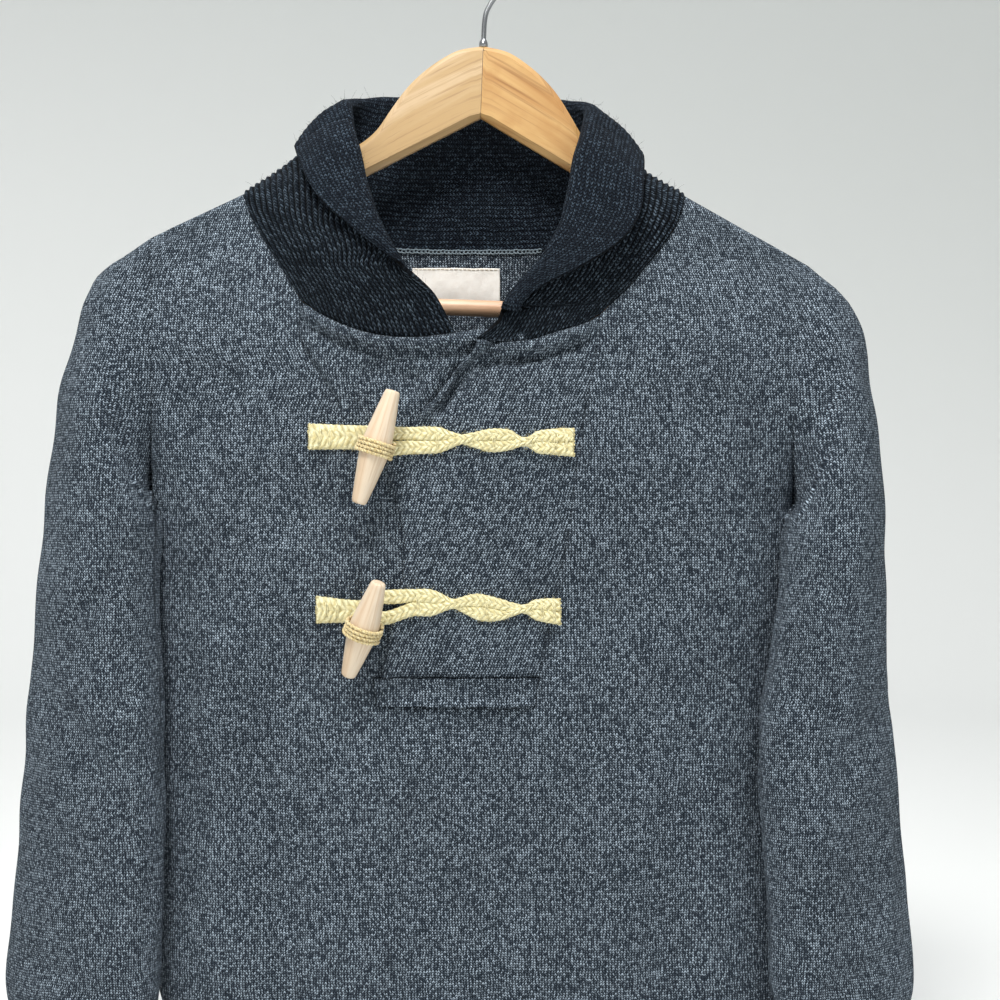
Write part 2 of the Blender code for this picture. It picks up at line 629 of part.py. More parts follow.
def panel_grid(facing, inner_left, inner_right, counts, top, bunch=0.0):
    """Outer and inner points of a panel in three zones: left of one line, between two lines, and right of them.

    inner_left and inner_right give the lines' x for a row; counts the columns of each zone; top the height of the
    upper edge at x; bunch how far the middle zone's columns crowd towards its lines.
    """
    outer, inner = [], []
    for row in panel_rows():
        level, up = row
        lines = [None, inner_left(row), inner_right(row), None]
        for side, slot in ((-1, 0), (1, 3)):
            guess = underarm(side)[0]
            z = leaning(level, guess)
            z = z if up is None else mix(z, shoulder_tip(side)[1], up)
            lines[slot] = side_x(side, z)
        out_row, in_row = [], []
        for zone, count in enumerate(counts):
            first, last = lines[zone], lines[zone + 1]
            for k in range(count + (zone == len(counts) - 1)):
                z_first = column_place(row, first, last, 0.0, top)
                z_last = column_place(row, first, last, 1.0, top)
                share = k / count
                if zone == 1:
                    share -= bunch * math.sin(2 * math.pi * share)
                turn = mix(body_turn(first, z_first), body_turn(last, z_last), share)
                z = mix(z_first, z_last, share)
                for _ in range(3):
                    x = body_point(facing, turn, z)[0]
                    z = column_place(row, x, x, 0.0, top)
                out, within = wall_pair(facing, turn, z)
                out_row.append(out)
                in_row.append(within)
        outer.append(out_row)
        inner.append(in_row)
    return outer, inner


FRONT_COUNTS = (8, 4, 8)
BACK_COUNTS = (4, 10, 4)


def front_line(side):
    def line(row):
        level, up = row
        if up is not None:
            return neck_x(side, up, above=True)
        return neck_x(side, leaning(level, neck_x(side, level, above=False)), above=False)

    return line


def build_front():
    """The front panel, with the window for the placket left out up to the neck."""
    outer, inner = panel_grid("front", front_line(-1), front_line(1), FRONT_COUNTS, shoulder_z)
    first = FRONT_COUNTS[0]
    foot = LEVELS.index(WINDOW_BOTTOM)
    wall(
        "front_panel",
        outer,
        inner,
        "body knit",
        present=lambda r, c: not (r >= foot and first <= c < first + FRONT_COUNTS[1]),
    )
    return outer, inner


def back_top(x):
    """Height of the back panel's upper edge: shoulder, neck, shoulder."""
    if BACK_NECK[0][0] < x < BACK_NECK[-1][0]:
        return row_at(BACK_NECK, x)[0]
    return shoulder_z(x)


def build_back():
    outer, inner = panel_grid(
        "back",
        lambda row: BACK_NECK[0][0],
        lambda row: BACK_NECK[-1][0],
        BACK_COUNTS,
        back_top,
        bunch=0.11,
    )
    wall("back_panel", outer, inner, "body knit")
    return outer, inner


# ---- sleeves -----------------------------------------------------------------------------------------------
def clear_of_body(point):
    """A sleeve's point moved out from the body's middle until it clears the body."""
    x, y, z = point
    side = -1 if x < BODY_CENTRE_X else 1
    if armhole_share(side, z) > 0:
        return point
    row = row_at(TORSO, z)
    reach = abs(row[0 if side < 0 else 1] - BODY_CENTRE_X) + BODY_CLEARANCE
    depth = row[2 if y < 0 else 3] + BODY_CLEARANCE
    fill = (abs(x - BODY_CENTRE_X) / reach) ** SECTION_POWER + (abs(y) / depth) ** SECTION_POWER
    if fill >= 1:
        return point
    scale = fill ** (-1 / SECTION_POWER)
    return np.array([BODY_CENTRE_X + (x - BODY_CENTRE_X) * scale, y * scale, z])


def armhole_ring(side, front, back):
    """The armhole's points from the shoulder tip down the front, round the underarm and up the back."""
    column = 0 if side < 0 else -1
    bottom = LEVELS.index(UNDERARM_Z)
    forward = [row[column] for row in front[bottom:]]
    rearward = [row[column] for row in back[bottom:]]
    tip = (forward[-1] + rearward[-1]) / 2
    pit = (forward[0] + rearward[0]) / 2
    ring = [tip, *reversed(forward[1:-1]), pit, *rearward[1:-1]]
    return [point + np.array([side * (SEAM_GAP + 0.0002), 0.0, 0.0]) for point in ring]


def sleeve_rings(side, table, first):
    """Rings of a sleeve's outer surface from the armhole down."""
    count = len(first)
    top, bottom = first[0], first[count // 2]
    axis = unit(top - bottom)
    reach = np.linalg.norm(top - bottom) / 2
    turns = []
    for i, point in enumerate(first):
        up = min(max(np.dot(point - (top + bottom) / 2, axis) / reach, -1.0), 1.0)
        turn = math.acos(up)
        turns.append(turn if i <= count // 2 else 2 * math.pi - turn)
    rings = [first]
    for k, (outer_x, outer_z, inner_x, inner_z, inner_y, half) in enumerate(table):
        outer_y = OUTER_EDGE_Y * smooth(k / 3)
        outer = np.array([outer_x, outer_y, outer_z])
        inner = np.array([inner_x, inner_y, inner_z])
        middle, arm = (outer + inner) / 2, (outer - inner) / 2
        # The thickness lies across the arm, in the level plane once the sleeve hangs free.
        level = unit(np.array([-arm[1], arm[0], 0.0])) * -side
        across = unit(mix(np.array([0.0, -1.0, 0.0]), level, smooth(k / 8)))
        ring = []
        for i, turn in enumerate(turns):
            even = 2 * math.pi * i / count
            angle = mix(turn, even, smooth(k / 6))
            point = middle + arm * math.cos(angle) + across * half * math.sin(angle)
            ring.append(clear_of_body(point))
        rings.append(ring)
    return rings


def build_sleeve(name, side, table, front, back):
    """One sleeve, from the armhole to the top of its cuff. Returns its last ring."""
    first = armhole_ring(side, front, back)
    rings = sleeve_rings(side, table, first)
    middles = {id(ring): sum(ring) / len(ring) for ring in rings}
    normals = []
    for r, ring in enumerate(rings):
        before, after = rings[max(r - 1, 0)], rings[min(r + 1, len(rings) - 1)]
        line = []
        for c, point in enumerate(ring):
            across = ring[(c + 1) % len(ring)] - ring[c - 1]
            along = after[c] - before[c]
            normal = unit(np.cross(across, along))
            outward = point - middles[id(ring)]
            line.append(normal if np.dot(normal, outward) > 0 else -normal)
        normals.append(line)
    inner = [[p - n * KNIT_WALL for p, n in zip(ring, line)] for ring, line in zip(rings, normals)]
    for point, edge in zip(inner[0], rings[0]):
        point[0] = edge[0]
    wall(name, rings, inner, "body knit", closed=True)
    return rings[-1]


# ---- ribbed bands ------------------------------------------------------------------------------------------
def along_line(line, share):
    """The point at a share of a line's length."""
    lengths = [0.0]
    for a, b in zip(line, line[1:]):
        lengths.append(lengths[-1] + np.linalg.norm(b - a))
    want = share * lengths[-1]
    i = min(bisect.bisect_right(lengths, want) - 1, len(line) - 2)
    return mix(line[i], line[i + 1], (want - lengths[i]) / (lengths[i + 1] - lengths[i]))


def build_band(name, rings, ribs, half=0):
    """A ribbed band through rings, each rib a ridge over a plain inside.

    A half of 0 closes it to a tube. The front half (-1) and the back half (1) are open at the side seams, and
    each keeps to its own side of them.
    """
    closed = half == 0
    columns = ribs * 2
    step = PLAIN_STEP["band"]
    ribbed, plain = [], []
    for ring in rings:
        middle = sum(ring) / len(ring)
        line = [*ring, ring[0]] if closed else ring
        base = [along_line(line, c / columns) for c in range(columns + (not closed))]
        out_row, in_row = [], []
        for c, point in enumerate(base):
            after = (c + 1) % columns if closed else min(c + 1, columns)
            along = base[after] - base[c - 1 if closed else max(c - 1, 0)]
            normal = unit(np.array([along[1], -along[0], 0.0]))
            if np.dot(normal, point - middle) < 0:
                normal = -normal
            sink = 0.0 if c % 2 else BAND_RIB_HEIGHT
            out_row.append(point - normal * sink)
            if c % step == 0:
                in_row.append(point - normal * (RIB_WALL + BAND_RIB_HEIGHT / 2))
        for p in [*out_row, *in_row]:
            if half:
                p[1] = half * max(half * p[1], SEAM_GAP / 2)
        ribbed.append(out_row)
        plain.append(in_row)
    ribbed_wall(name, ribbed, plain, step, "rib knit", closed)


def build_hem(name, half, top):
    """Half of the hem band, its top just under a panel's lowest row."""
    rings = []
    for z in (BODY_BOTTOM - SEAM_GAP, HEM_END):
        here, there = row_at(TORSO, z), row_at(TORSO, BODY_BOTTOM)
        wide = (here[1] - here[0]) / (there[1] - there[0])
        deep = here[2] / there[2]
        rings.append(
            [np.array([BODY_CENTRE_X + (p[0] - BODY_CENTRE_X) * wide, p[1] * deep, z]) for p in top]
        )
    build_band(name, rings, HEM_RIBS // 2, half)


def build_cuff(name, ring):
    """A cuff under a sleeve's last ring."""
    middle = sum(ring) / len(ring)
    rings = []
    for share in (0.0, 0.5, 1.0):
        size = mix(1.0, CUFF_SHRINK, share)
        drop = np.array([0.0, 0.0, SEAM_GAP + CUFF_LENGTH * share])
        rings.append([middle + (p - middle) * size - drop for p in ring])
    build_band(name, rings, CUFF_RIBS)


# ---- collar ------------------------------------------------------------------------------------------------
def neck_line(front, back):
    """The panels' neck edge in one grid, from the left corner over the back to the right corner."""
    corner = len(LEVELS) - 1
    left, right = FRONT_COUNTS[0], FRONT_COUNTS[0] + FRONT_COUNTS[1]
    first, last = BACK_COUNTS[0], BACK_COUNTS[0] + BACK_COUNTS[1]
    rise = [front[r][left] for r in range(corner, len(front) - 1)]
    fall = [front[r][right] for r in range(len(front) - 2, corner - 1, -1)]
    shoulders = [(front[-1][a] + back[-1][b]) / 2 for a, b in ((left, first), (right, last))]
    line = [*rise, shoulders[0], *back[-1][first + 1 : last], shoulders[1], *fall]
    return line, (len(rise), len(line) - 1 - len(fall))


def into_opening(outer, inner):
    """For each point of the neck edge, the move that leaves a seam gap beside both of its edges."""
    edges = []
    for i in range(len(outer) - 1):
        thickness = unit((outer[i] + outer[i + 1]) - (inner[i] + inner[i + 1]))
        edges.append(unit(np.cross(unit(outer[i + 1] - outer[i]), thickness)))
    moves = []
    for i in range(len(outer)):
        before, after = edges[max(i - 1, 0)], edges[min(i, len(edges) - 1)]
        middle = unit(before + after)
        moves.append(middle * SEAM_GAP * 1.8 / max(float(np.dot(middle, before)), 0.4))
    return moves


def neck_seam(front_pair, back_pair):
    """Stations along the neck edge, with the strip's first outer and inner points at each."""
    outer, shoulders = neck_line(front_pair[0], back_pair[0])
    inner, _ = neck_line(front_pair[1], back_pair[1])
    lengths = [0.0]
    for a, b in zip(outer, outer[1:]):
        lengths.append(lengths[-1] + np.linalg.norm(b - a))
    start, end = lengths[shoulders[0]], lengths[shoulders[1]]
    marks = [0.0, start, (start + end) / 2, end, lengths[-1]]
    moves = into_opening(outer, inner)
    stations = []
    for i, length in enumerate(lengths):
        station = float(np.interp(length, marks, range(5)))
        stations.append((station, outer[i] + moves[i], inner[i] + moves[i]))
    finer = []
    for a, b in zip(stations, stations[1:]):
        rows = row_at(COLLAR, a[0]), row_at(COLLAR, b[0])
        spans = [np.linalg.norm(b[1] - a[1])]
        spans += [np.linalg.norm((rows[1] - rows[0])[k : k + 3]) for k in (3, 6)]
        count = max(math.ceil(max(spans) / COLLAR_STEP), 1)
        for k in range(count):
            finer.append(tuple(mix(p, q, k / count) for p, q in zip(a, b)))
    return [*finer, stations[-1]]


def strip_section(start, row, share):
    """A point of the strip's plain face at a share of its width: stand, roll, then fall."""
    knee, roll, edge, (radius, puff) = row[0:3], row[3:6], row[6:9], row[9:11]
    bend_at = [mix(mix(start, knee, t), mix(knee, roll, t), t) for t in np.linspace(0.0, 1.0, 9)]
    stand_marks = [0.0]
    for a, b in zip(bend_at, bend_at[1:]):
        stand_marks.append(stand_marks[-1] + np.linalg.norm(b - a))
    stand_length = stand_marks[-1]
    up = unit(roll - knee)
    to_edge = edge - roll
    along = float(np.dot(to_edge, up))
    out = to_edge - up * along
    aside = float(np.linalg.norm(out))
    out = out / aside
    reach = math.hypot(along, aside - radius)
    fall_length = math.sqrt(max(reach**2 - radius**2, 1e-8))
    bend = math.atan2(aside - radius, along) + math.pi / 2 - math.atan2(fall_length, radius)
    bend = bend % (2 * math.pi)
    if bend > 1.6 * math.pi:
        bend = 0.0
    place = share * (stand_length + radius * bend + fall_length)
    if place <= stand_length:
        t = float(np.interp(place, stand_marks, np.linspace(0.0, 1.0, 9)))
        return mix(mix(start, knee, t), mix(knee, roll, t), t)
    place -= stand_length
    if place <= radius * bend:
        angle = place / radius
        return roll + up * radius * math.sin(angle) + out * radius * (1 - math.cos(angle))
    place -= radius * bend
    direction = up * math.cos(bend) + out * math.sin(bend)
    off = out * math.cos(bend) * -1 + up * math.sin(bend)
    part = place / fall_length
    swell = off * puff * 4 * part * (1 - part)
    turned = roll + up * radius * math.sin(bend) + out * radius * (1 - math.cos(bend))
    return turned + direction * place + swell


def build_collar(stations):
    """The rib strip in three nodes (left front, back, right front), split at the shoulders."""
    columns = COLLAR_RIBS * 2
    step = PLAIN_STEP["collar"]
    plain, seam_out = [], []
    for station, outer, inner in stations:
        row = row_at(COLLAR, station)
        plain.append([strip_section(inner, row, c / columns) for c in range(columns + 1)])
        seam_out.append(outer)
    normals = strip_normals(plain)
    ribbed = []
    for r, line in enumerate(plain):
        width = sum(np.linalg.norm(b - a) for a, b in zip(line, line[1:]))
        ridge = min(COLLAR_RIB_HEIGHT, width / COLLAR_RIBS * COLLAR_RIB_SHARE)
        row = []
        for c, point in enumerate(line):
            row.append(point + normals[r][c] * (RIB_WALL + (ridge if c % 2 else 0.0)))
        row[0] = seam_out[r]
        ribbed.append(row)
    for end, table, way in ((0, LEFT_END, 1), (-1, RIGHT_END, -1)):
        corner = seam_out[end][0]
        for line in (plain[end], ribbed[end]):
            for c, point in enumerate(line):
                least = corner + way * SEAM_GAP * min(c, 2)
                point[0] = max(point[0], least) if way > 0 else min(point[0], least)
                point[2] = row_at(table, point[0])[0]
    coarse = [line[::step] for line in plain]
    shoulders = [i for i, (station, _, _) in enumerate(stations) if abs(station - round(station)) < 1e-6]
    cuts = [0, shoulders[1], shoulders[-2], len(stations) - 1]
    for name, a, b in zip(("collar_left", "collar_back", "collar_right"), cuts, cuts[1:]):
        ribs, flat = [list(line) for line in ribbed[a : b + 1]], [list(line) for line in coarse[a : b + 1]]
        if a > 0:
            ribs[0], flat[0] = cut_rows(ribbed, coarse, a, 1)
        if b < len(stations) - 1:
            ribs[-1], flat[-1] = cut_rows(ribbed, coarse, b, -1)
        ribbed_wall(name, ribs, flat, step, "rib knit", closed=False)


def strip_normals(grid):
    """Normals of the strip that point to its ribbed side."""
    rows, columns = len(grid), len(grid[0])
    normals = []
    for r in range(rows):
        line = []
        for c in range(columns):
            across = grid[r][min(c + 1, columns - 1)] - grid[r][max(c - 1, 0)]
            along = grid[min(r + 1, rows - 1)][c] - grid[max(r - 1, 0)][c]
            line.append(unit(np.cross(across, along)))
        normals.append(line)
    return normals


def cut_rows(ribbed, coarse, row, way):
    """The rows where the strip is cut in two, laid in one plane and moved half a gap along the strip."""
    points = np.array(ribbed[row] + coarse[row])
    middle = points.mean(axis=0)
    normal = np.linalg.svd(points - middle)[2][2]
    run = sum(ribbed[row + 1]) - sum(ribbed[row - 1])
    normal = normal * (way if np.dot(normal, run) > 0 else -way)
    return [
        [point - normal * (np.dot(point - middle, normal) - SEAM_GAP / 2) for point in line[row]]
        for line in (ribbed, coarse)
    ]


# ---- placket and label -------------------------------------------------------------------------------------
def overlap_x(z):
    return row_at(OVERLAP_EDGE, z)[0]


def lifted_pair(x, z, lift, thick=KNIT_WALL):
    """Outer and inner point of a piece whose face stands `lift` off the front's surface."""
    turn = body_turn(x, z)
    outer, normal = body_point("front", turn, z), body_normal("front", turn, z)
    outer = outer + normal * lift
    return outer, outer - normal * thick


def build_placket(name, rows, edge_points, free_x, top_z, lift, seam_first):
    """A placket: one long edge is the front panel's own edge points, the other runs along free_x."""
    outer, inner = [], []
    for i, row in enumerate(rows):
        edge_out, edge_in = edge_points[i]
        last = i == len(rows) - 1
        z_free = leaning(row, free_x(row))
        far = free_x(z_free)
        out_row, in_row = [], []
        for k in range(PLACKET_COLUMNS + 1):
            share = k / PLACKET_COLUMNS
            x = mix(edge_out[0], far, share)
            z = top_z(x) if last else leaning(row, x)
            if i == 0:
                z = PLACKET_FOOT + LAY_GAP
            out, within = lifted_pair(x, z, lift(x, z, share))
            if k == 0:
                out, within = edge_out.copy(), edge_in.copy()
                out[2] = within[2] = z
            out_row.append(out)
            in_row.append(within)
        outer.append(out_row)
        inner.append(in_row)
    if not seam_first:
        outer, inner = [row[::-1] for row in outer], [row[::-1] for row in inner]
    wall(name, outer, inner, "body knit")


def build_plackets(front_pair):
    """Under placket, over placket and the box piece at their foot."""
    front_out, front_in = front_pair
    foot = LEVELS.index(PLACKET_FOOT)
    corner = len(LEVELS) - 1
    rows = LEVELS[foot : corner + 1]
    left, right = FRONT_COUNTS[0], FRONT_COUNTS[0] + FRONT_COUNTS[1]

    def edges(column, shift):
        move = np.array([shift, 0.0, 0.0])
        return [(front_out[r][column] + move, front_in[r][column] + move) for r in range(foot, corner + 1)]

    gap = SEAM_GAP + 0.0002
    left_edge, right_edge = edges(left, gap), edges(right, -gap)
    build_placket(
        "placket_under",
        rows,
        left_edge,
        lambda z: overlap_x(z) + UNDERLAP,
        lambda x: row_at(LEFT_END, x)[0] - 2 * LAY_GAP,
        lambda x, z, share: 0.0,
        True,
    )
    build_placket(
        "placket_over",
        rows,
        right_edge,
        overlap_x,
        lambda x: row_at(RIGHT_END, x)[0] - 2 * LAY_GAP,
        lambda x, z, share: OVER_LIFT * smooth((row_at(WINDOW_EDGE, z)[1] - x) / OVER_SETTLE),
        False,
    )
    outer, inner = [], []
    for z in (WINDOW_BOTTOM + LAY_GAP, (WINDOW_BOTTOM + PLACKET_FOOT) / 2, PLACKET_FOOT - LAY_GAP):
        start, end = row_at(WINDOW_EDGE, z) + np.array([gap, -gap])
        pairs = []
        for k in range(PLACKET_COLUMNS + 1):
            puff = math.sin(math.pi * k / PLACKET_COLUMNS) ** 0.4
            lift = BOX_LIFT * puff
            pairs.append(lifted_pair(mix(start, end, k / PLACKET_COLUMNS), z, lift, KNIT_WALL + lift))
        outer.append([pair[0] for pair in pairs])
        inner.append([pair[1] for pair in pairs])
    wall("placket_box", outer, inner, "body knit")


def build_label():
    """The bare label inside the back of the neck."""
    columns, rows = 6, 2
    outer, inner = [], []
    for r in range(rows + 1):
        z = mix(LABEL["bottom"], LABEL["top"], r / rows)
        out_row, in_row = [], []
        for c in range(columns + 1):
            x = mix(LABEL["left"], LABEL["right"], c / columns)
            point = wall_pair("back", body_turn(x, z), z)[1]
            back = point - np.array([0.0, LABEL_OFF, 0.0])
            out_row.append(back)
            in_row.append(back - np.array([0.0, LABEL_THICK, 0.0]))
        outer.append(out_row)
        inner.append(in_row)
    wall("neck_label", outer, inner, "label")


# ---- toggles, braid and twine ------------------------------------------------------------------------------
def ribbon(name, table, back_lift, thick, columns, slot=None):
    """A flat braid that follows the front, between the heights that its table gives."""
    rows = 5
    outer, inner = [], []
    first, last = table[0][0], table[-1][0]
    for r in range(rows + 1):
        out_row, in_row = [], []
        for c in range(columns + 1):
            x = mix(first, last, c / columns)
            top, bottom = row_at(table, x)
            share = r / rows
            z = mix(bottom, top, share)
            crown = BRAID_CROWN * math.sin(math.pi * share)
            surface, normal = lifted_pair(x, z, 0.0)[0], body_normal("front", body_turn(x, z), z)
            in_row.append(surface + normal * back_lift)
            out_row.append(surface + normal * (back_lift + thick + crown))
        outer.append(out_row)
        inner.append(in_row)
    keep = None if slot is None else lambda r, c: not (r == 2 and slot[0] <= c < slot[1])
    wall(name, outer, inner, "braid", present=keep)


def toggle_radius(share):
    """Radius of a toggle at a share of its length."""
    off = abs(share - 0.5) * 2
    taper = mix(TOGGLE_WAIST, TOGGLE_END, off**1.15)
    return taper * math.sqrt(max(1 - max(off - 0.94, 0.0) / 0.06 * 0.35, 0.05))


def build_toggle(spec):
    """A turned toggle, the twine wrap at its waist, the tab under it and the loop round it."""
    name = spec["name"]
    sides = 14
    middle_z = spec["z"]
    cloth = body_depth("front", spec["x"], middle_z)
    centre_y = -(cloth + OVER_LIFT + LAY_GAP + LOOP_THICK + BRAID_CROWN + TWINE + spec["off"] + TOGGLE_WAIST)
    centre = np.array([spec["x"], centre_y, middle_z])
    lean, tilt = math.radians(spec["lean"]), math.radians(spec["tilt"])
    axis = np.array([math.sin(lean) * math.cos(tilt), -math.sin(tilt), math.cos(lean) * math.cos(tilt)])
    aside = unit(np.cross(axis, np.array([0.0, -1.0, 0.0])))
    front = unit(np.cross(aside, axis))

    def ring(along, radius, centre=centre):
        place = centre + axis * along
        return [
            place + (aside * math.cos(a) + front * math.sin(a)) * radius
            for a in (2 * math.pi * k / sides for k in range(sides))
        ]

    shares = (0.0, 0.03, 0.15, 0.30, 0.42, 0.5, 0.58, 0.70, 0.85, 0.97, 1.0)
    rings = [ring((s - 0.5) * spec["length"], toggle_radius(s)) for s in shares]
    points = [p for one in rings for p in one]
    faces = [tuple(range(sides)), tuple(range(len(points) - sides, len(points)))]
    for r in range(len(rings) - 1):
        for k in range(sides):
            a, b = r * sides + k, r * sides + (k + 1) % sides
            faces.append((a, b, b + sides, a + sides))
    add_object(f"toggle_{name}", points, faces, "toggle wood")

    # The wrap is a ring of joined turns: ridges outside, a plain bore just clear of the toggle.
    half = WRAP_TURNS * TWINE / 2
    steps = WRAP_TURNS * 2
    outer, inner = [], []
    for s in range(steps + 1):
        along = mix(-half, half, s / steps)
        swell = TWINE if s % 2 else TWINE * 0.6
        radius = TOGGLE_WAIST + LAY_GAP
        outer.append(ring(along, radius + swell))
        inner.append(ring(along, radius))
    wall(f"wrap_{name}", outer, inner, "braid", closed=True)

    ribbon(f"tab_{name}", spec["tab"], LAY_GAP, BRAID_THICK - 0.0008, 6)
    ribbon(f"loop_{name}", spec["loop"], OVER_LIFT + LAY_GAP, LOOP_THICK, 22, slot=(1, 8))


# ---- hanger ------------------------------------------------------------------------------------------------
def arm_outline():
    """The outline of one arm, from the foot of the mitre up and along the top to the end and back below."""
    outline = [(0.0, MITRE_DROP), *ARM_TOP]
    reach = SHOULDER_START[0]
    lift = ARM_BELOW_CLOTH / math.cos(math.atan(SHOULDER_SLOPE))
    for along in (0.1370, reach, 0.1750, 0.2000):
        outline.append((along, SHOULDER_START[1] + SHOULDER_SLOPE * (along - reach) + lift))
    return outline + list(ARM_END)


def build_arm(name, side, parent):
    """One arm: a flat board with rounded edges."""
    outline = [np.array(p) for p in arm_outline()]
    count = len(outline)
    inset = []
    for i, p in enumerate(outline):
        before, after = unit(p - outline[i - 1]), unit(outline[(i + 1) % count] - p)
        inward = unit(np.array([-before[1] - after[1], before[0] + after[0]]))
        bend = max(float(np.dot(inward, np.array([-after[1], after[0]]))), 0.5)
        inset.append(p + inward * ARM_EDGE_ROUND / bend)
    half = ARM_THICK / 2
    loops = (
        (inset, -half),
        (outline, -half + ARM_EDGE_ROUND),
        (outline, half - ARM_EDGE_ROUND),
        (inset, half),
    )
    points = []
    for loop, y in loops:
        for i, (along, down) in enumerate(loop):
            if i in (0, 1):
                along = SEAM_GAP / 2
            points.append((side * along, y, -WOOD_TOP - down))
    faces = [tuple(range(count)), tuple(range(3 * count, 4 * count))]
    for k in range(3):
        for i in range(count):
            a, b = k * count + i, k * count + (i + 1) % count
            faces.append((a, b, b + count, a + count))
    add_object(name, points, faces, "hanger wood", parent)


def hook_route():
    """Points of the hook's wire: up from the wood, aside, and round to its open end on the left."""
    route = [
        (0.0, -WOOD_TOP + LAY_GAP),
        (0.0, -0.0760),
        (0.0002, -0.0680),
        (0.0014, -0.0600),
        (0.0058, -0.0510),
        (0.0112, -0.0438),
    ]
    middle = WIRE_RADIUS - HOOK_RADIUS
    for degrees in range(-45, 206, 12):
        angle = math.radians(degrees)
        route.append((HOOK_RADIUS * math.cos(angle), middle + HOOK_RADIUS * math.sin(angle)))
    return route


def build_hanger():
    frame = bpy.data.objects.new("hanger_frame", None)
    bpy.context.scene.collection.objects.link(frame)
    frame.rotation_euler = (0.0, ROLL, 0.0)
    build_arm("hanger_arm_left", -1, frame)
    build_arm("hanger_arm_right", 1, frame)

    bpy.ops.mesh.primitive_cylinder_add(vertices=16, radius=BAR_RADIUS, depth=2 * BAR_REACH)
    bar = bpy.context.object
    bar.name = bar.data.name = "hanger_bar"
    bar.data.materials.append(finish("bar wood"))
    bar.data.shade_smooth()
    bar.data.set_sharp_from_angle(angle=math.radians(50))
    bar.parent = frame
    bar.location = (0.0, 0.0, -WOOD_TOP - BAR_DROP)
    bar.rotation_euler = (0.0, math.pi / 2, 0.0)

    curve = bpy.data.curves.new("hanger_hook", "CURVE")
    curve.dimensions = "3D"
    curve.bevel_depth = WIRE_RADIUS
    curve.bevel_resolution = 2
    curve.use_fill_caps = True
    route = hook_route()
    spline = curve.splines.new("POLY")
    spline.points.add(len(route) - 1)
    for point, (x, z) in zip(spline.points, route):
        point.co = (x, 0.0, z, 1.0)
    curve.materials.append(finish("steel"))
    hook = bpy.data.objects.new("hanger_hook", curve)
    bpy.context.scene.collection.objects.link(hook)
    hook.parent = frame


def main():
    for obj in list(bpy.data.objects):
        bpy.data.objects.remove(obj, do_unlink=True)
    front = build_front()
    back = build_back()
    for name, side, table in (("left", -1, LEFT_SLEEVE), ("right", 1, RIGHT_SLEEVE)):
        end = build_sleeve(f"sleeve_{name}", side, table, front[0], back[0])
        build_cuff(f"cuff_{name}", end)
    build_hem("hem_front", -1, front[0][0])
    build_hem("hem_back", 1, back[0][0])
    build_collar(neck_seam(front, back))
    build_plackets(front)
    build_label()
    for spec in TOGGLES:
        build_toggle(spec)
    build_hanger()


main()
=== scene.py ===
"""Toggle neck sweater on its wooden hanger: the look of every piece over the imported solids.

Frame: metres, +Z up, the wearer's front faces -Y, +X to the right of a viewer who faces it, the origin
at the seat of the hook. "Left" and "right" are the viewer's. The cloth forms repeat the named sizes of
the part's own source, on finer grids, so that each shell lies where its solid is.
"""

import logging
import math
from dataclasses import dataclass, field
from enum import Enum

import bmesh
import bpy
import numpy as np
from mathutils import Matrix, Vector


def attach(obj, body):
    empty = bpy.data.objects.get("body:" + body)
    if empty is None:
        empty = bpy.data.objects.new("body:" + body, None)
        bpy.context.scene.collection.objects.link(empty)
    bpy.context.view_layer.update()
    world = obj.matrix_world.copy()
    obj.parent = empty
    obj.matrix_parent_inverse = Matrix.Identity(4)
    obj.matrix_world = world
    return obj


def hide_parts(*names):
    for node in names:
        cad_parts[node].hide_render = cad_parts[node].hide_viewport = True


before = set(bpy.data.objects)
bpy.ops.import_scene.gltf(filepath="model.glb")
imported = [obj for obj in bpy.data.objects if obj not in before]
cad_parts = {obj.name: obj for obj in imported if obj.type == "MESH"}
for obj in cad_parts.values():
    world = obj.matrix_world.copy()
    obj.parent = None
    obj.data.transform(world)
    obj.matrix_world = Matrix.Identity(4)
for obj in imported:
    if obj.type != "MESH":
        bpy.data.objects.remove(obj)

LOG = logging.getLogger("sweater")
ROOT = "root"
Table = tuple[tuple[float, ...], ...]
Array = np.ndarray
Material = bpy.types.Material
Socket = bpy.types.NodeSocket
Pair = tuple[float, float]
Triple = tuple[float, float, float]
Colour = tuple[float, float, float, float]
TUBE_END_RADIUS = 0.3
TUBE_END_REACH = 0.5


class Facing(Enum):
    """The two panels of the body."""

    FRONT = "front"
    BACK = "back"


class Side(Enum):
    """The viewer's left and right."""

    LEFT = -1
    RIGHT = 1


# ---- small maths ----------------------------------------------------------------------------------
def row_at(table: Table, at: Array | float) -> Array:
    """The other columns of a table at values of its first column, smooth between its rows.

    Args:
        table: rows whose first column rises.
        at: values of the first column.

    Returns:
        An array with one more axis than `at`, which holds the other columns.
    """
    rows = np.array(table, float)
    keys, values = rows[:, 0], rows[:, 1:]
    last = len(keys) - 1
    at = np.clip(np.asarray(at, float), keys[0], keys[-1])
    i = np.clip(np.searchsorted(keys, at, side="right") - 1, 0, last - 1)
    before = np.maximum(np.arange(last + 1) - 1, 0)
    after = np.minimum(np.arange(last + 1) + 1, last)
    slopes = (values[after] - values[before]) / (keys[after] - keys[before])[:, None]
    span = (keys[i + 1] - keys[i])[..., None]
    t = (at - keys[i])[..., None] / span
    return (
        (2 * t**3 - 3 * t**2 + 1) * values[i]
        + (t**3 - 2 * t**2 + t) * span * slopes[i]
        + (3 * t**2 - 2 * t**3) * values[i + 1]
        + (t**3 - t**2) * span * slopes[i + 1]
    )


def mix(a: Array | float, b: Array | float, share: Array | float) -> Array | float:
    """The value a share of the way from a to b."""
    return a + (b - a) * share


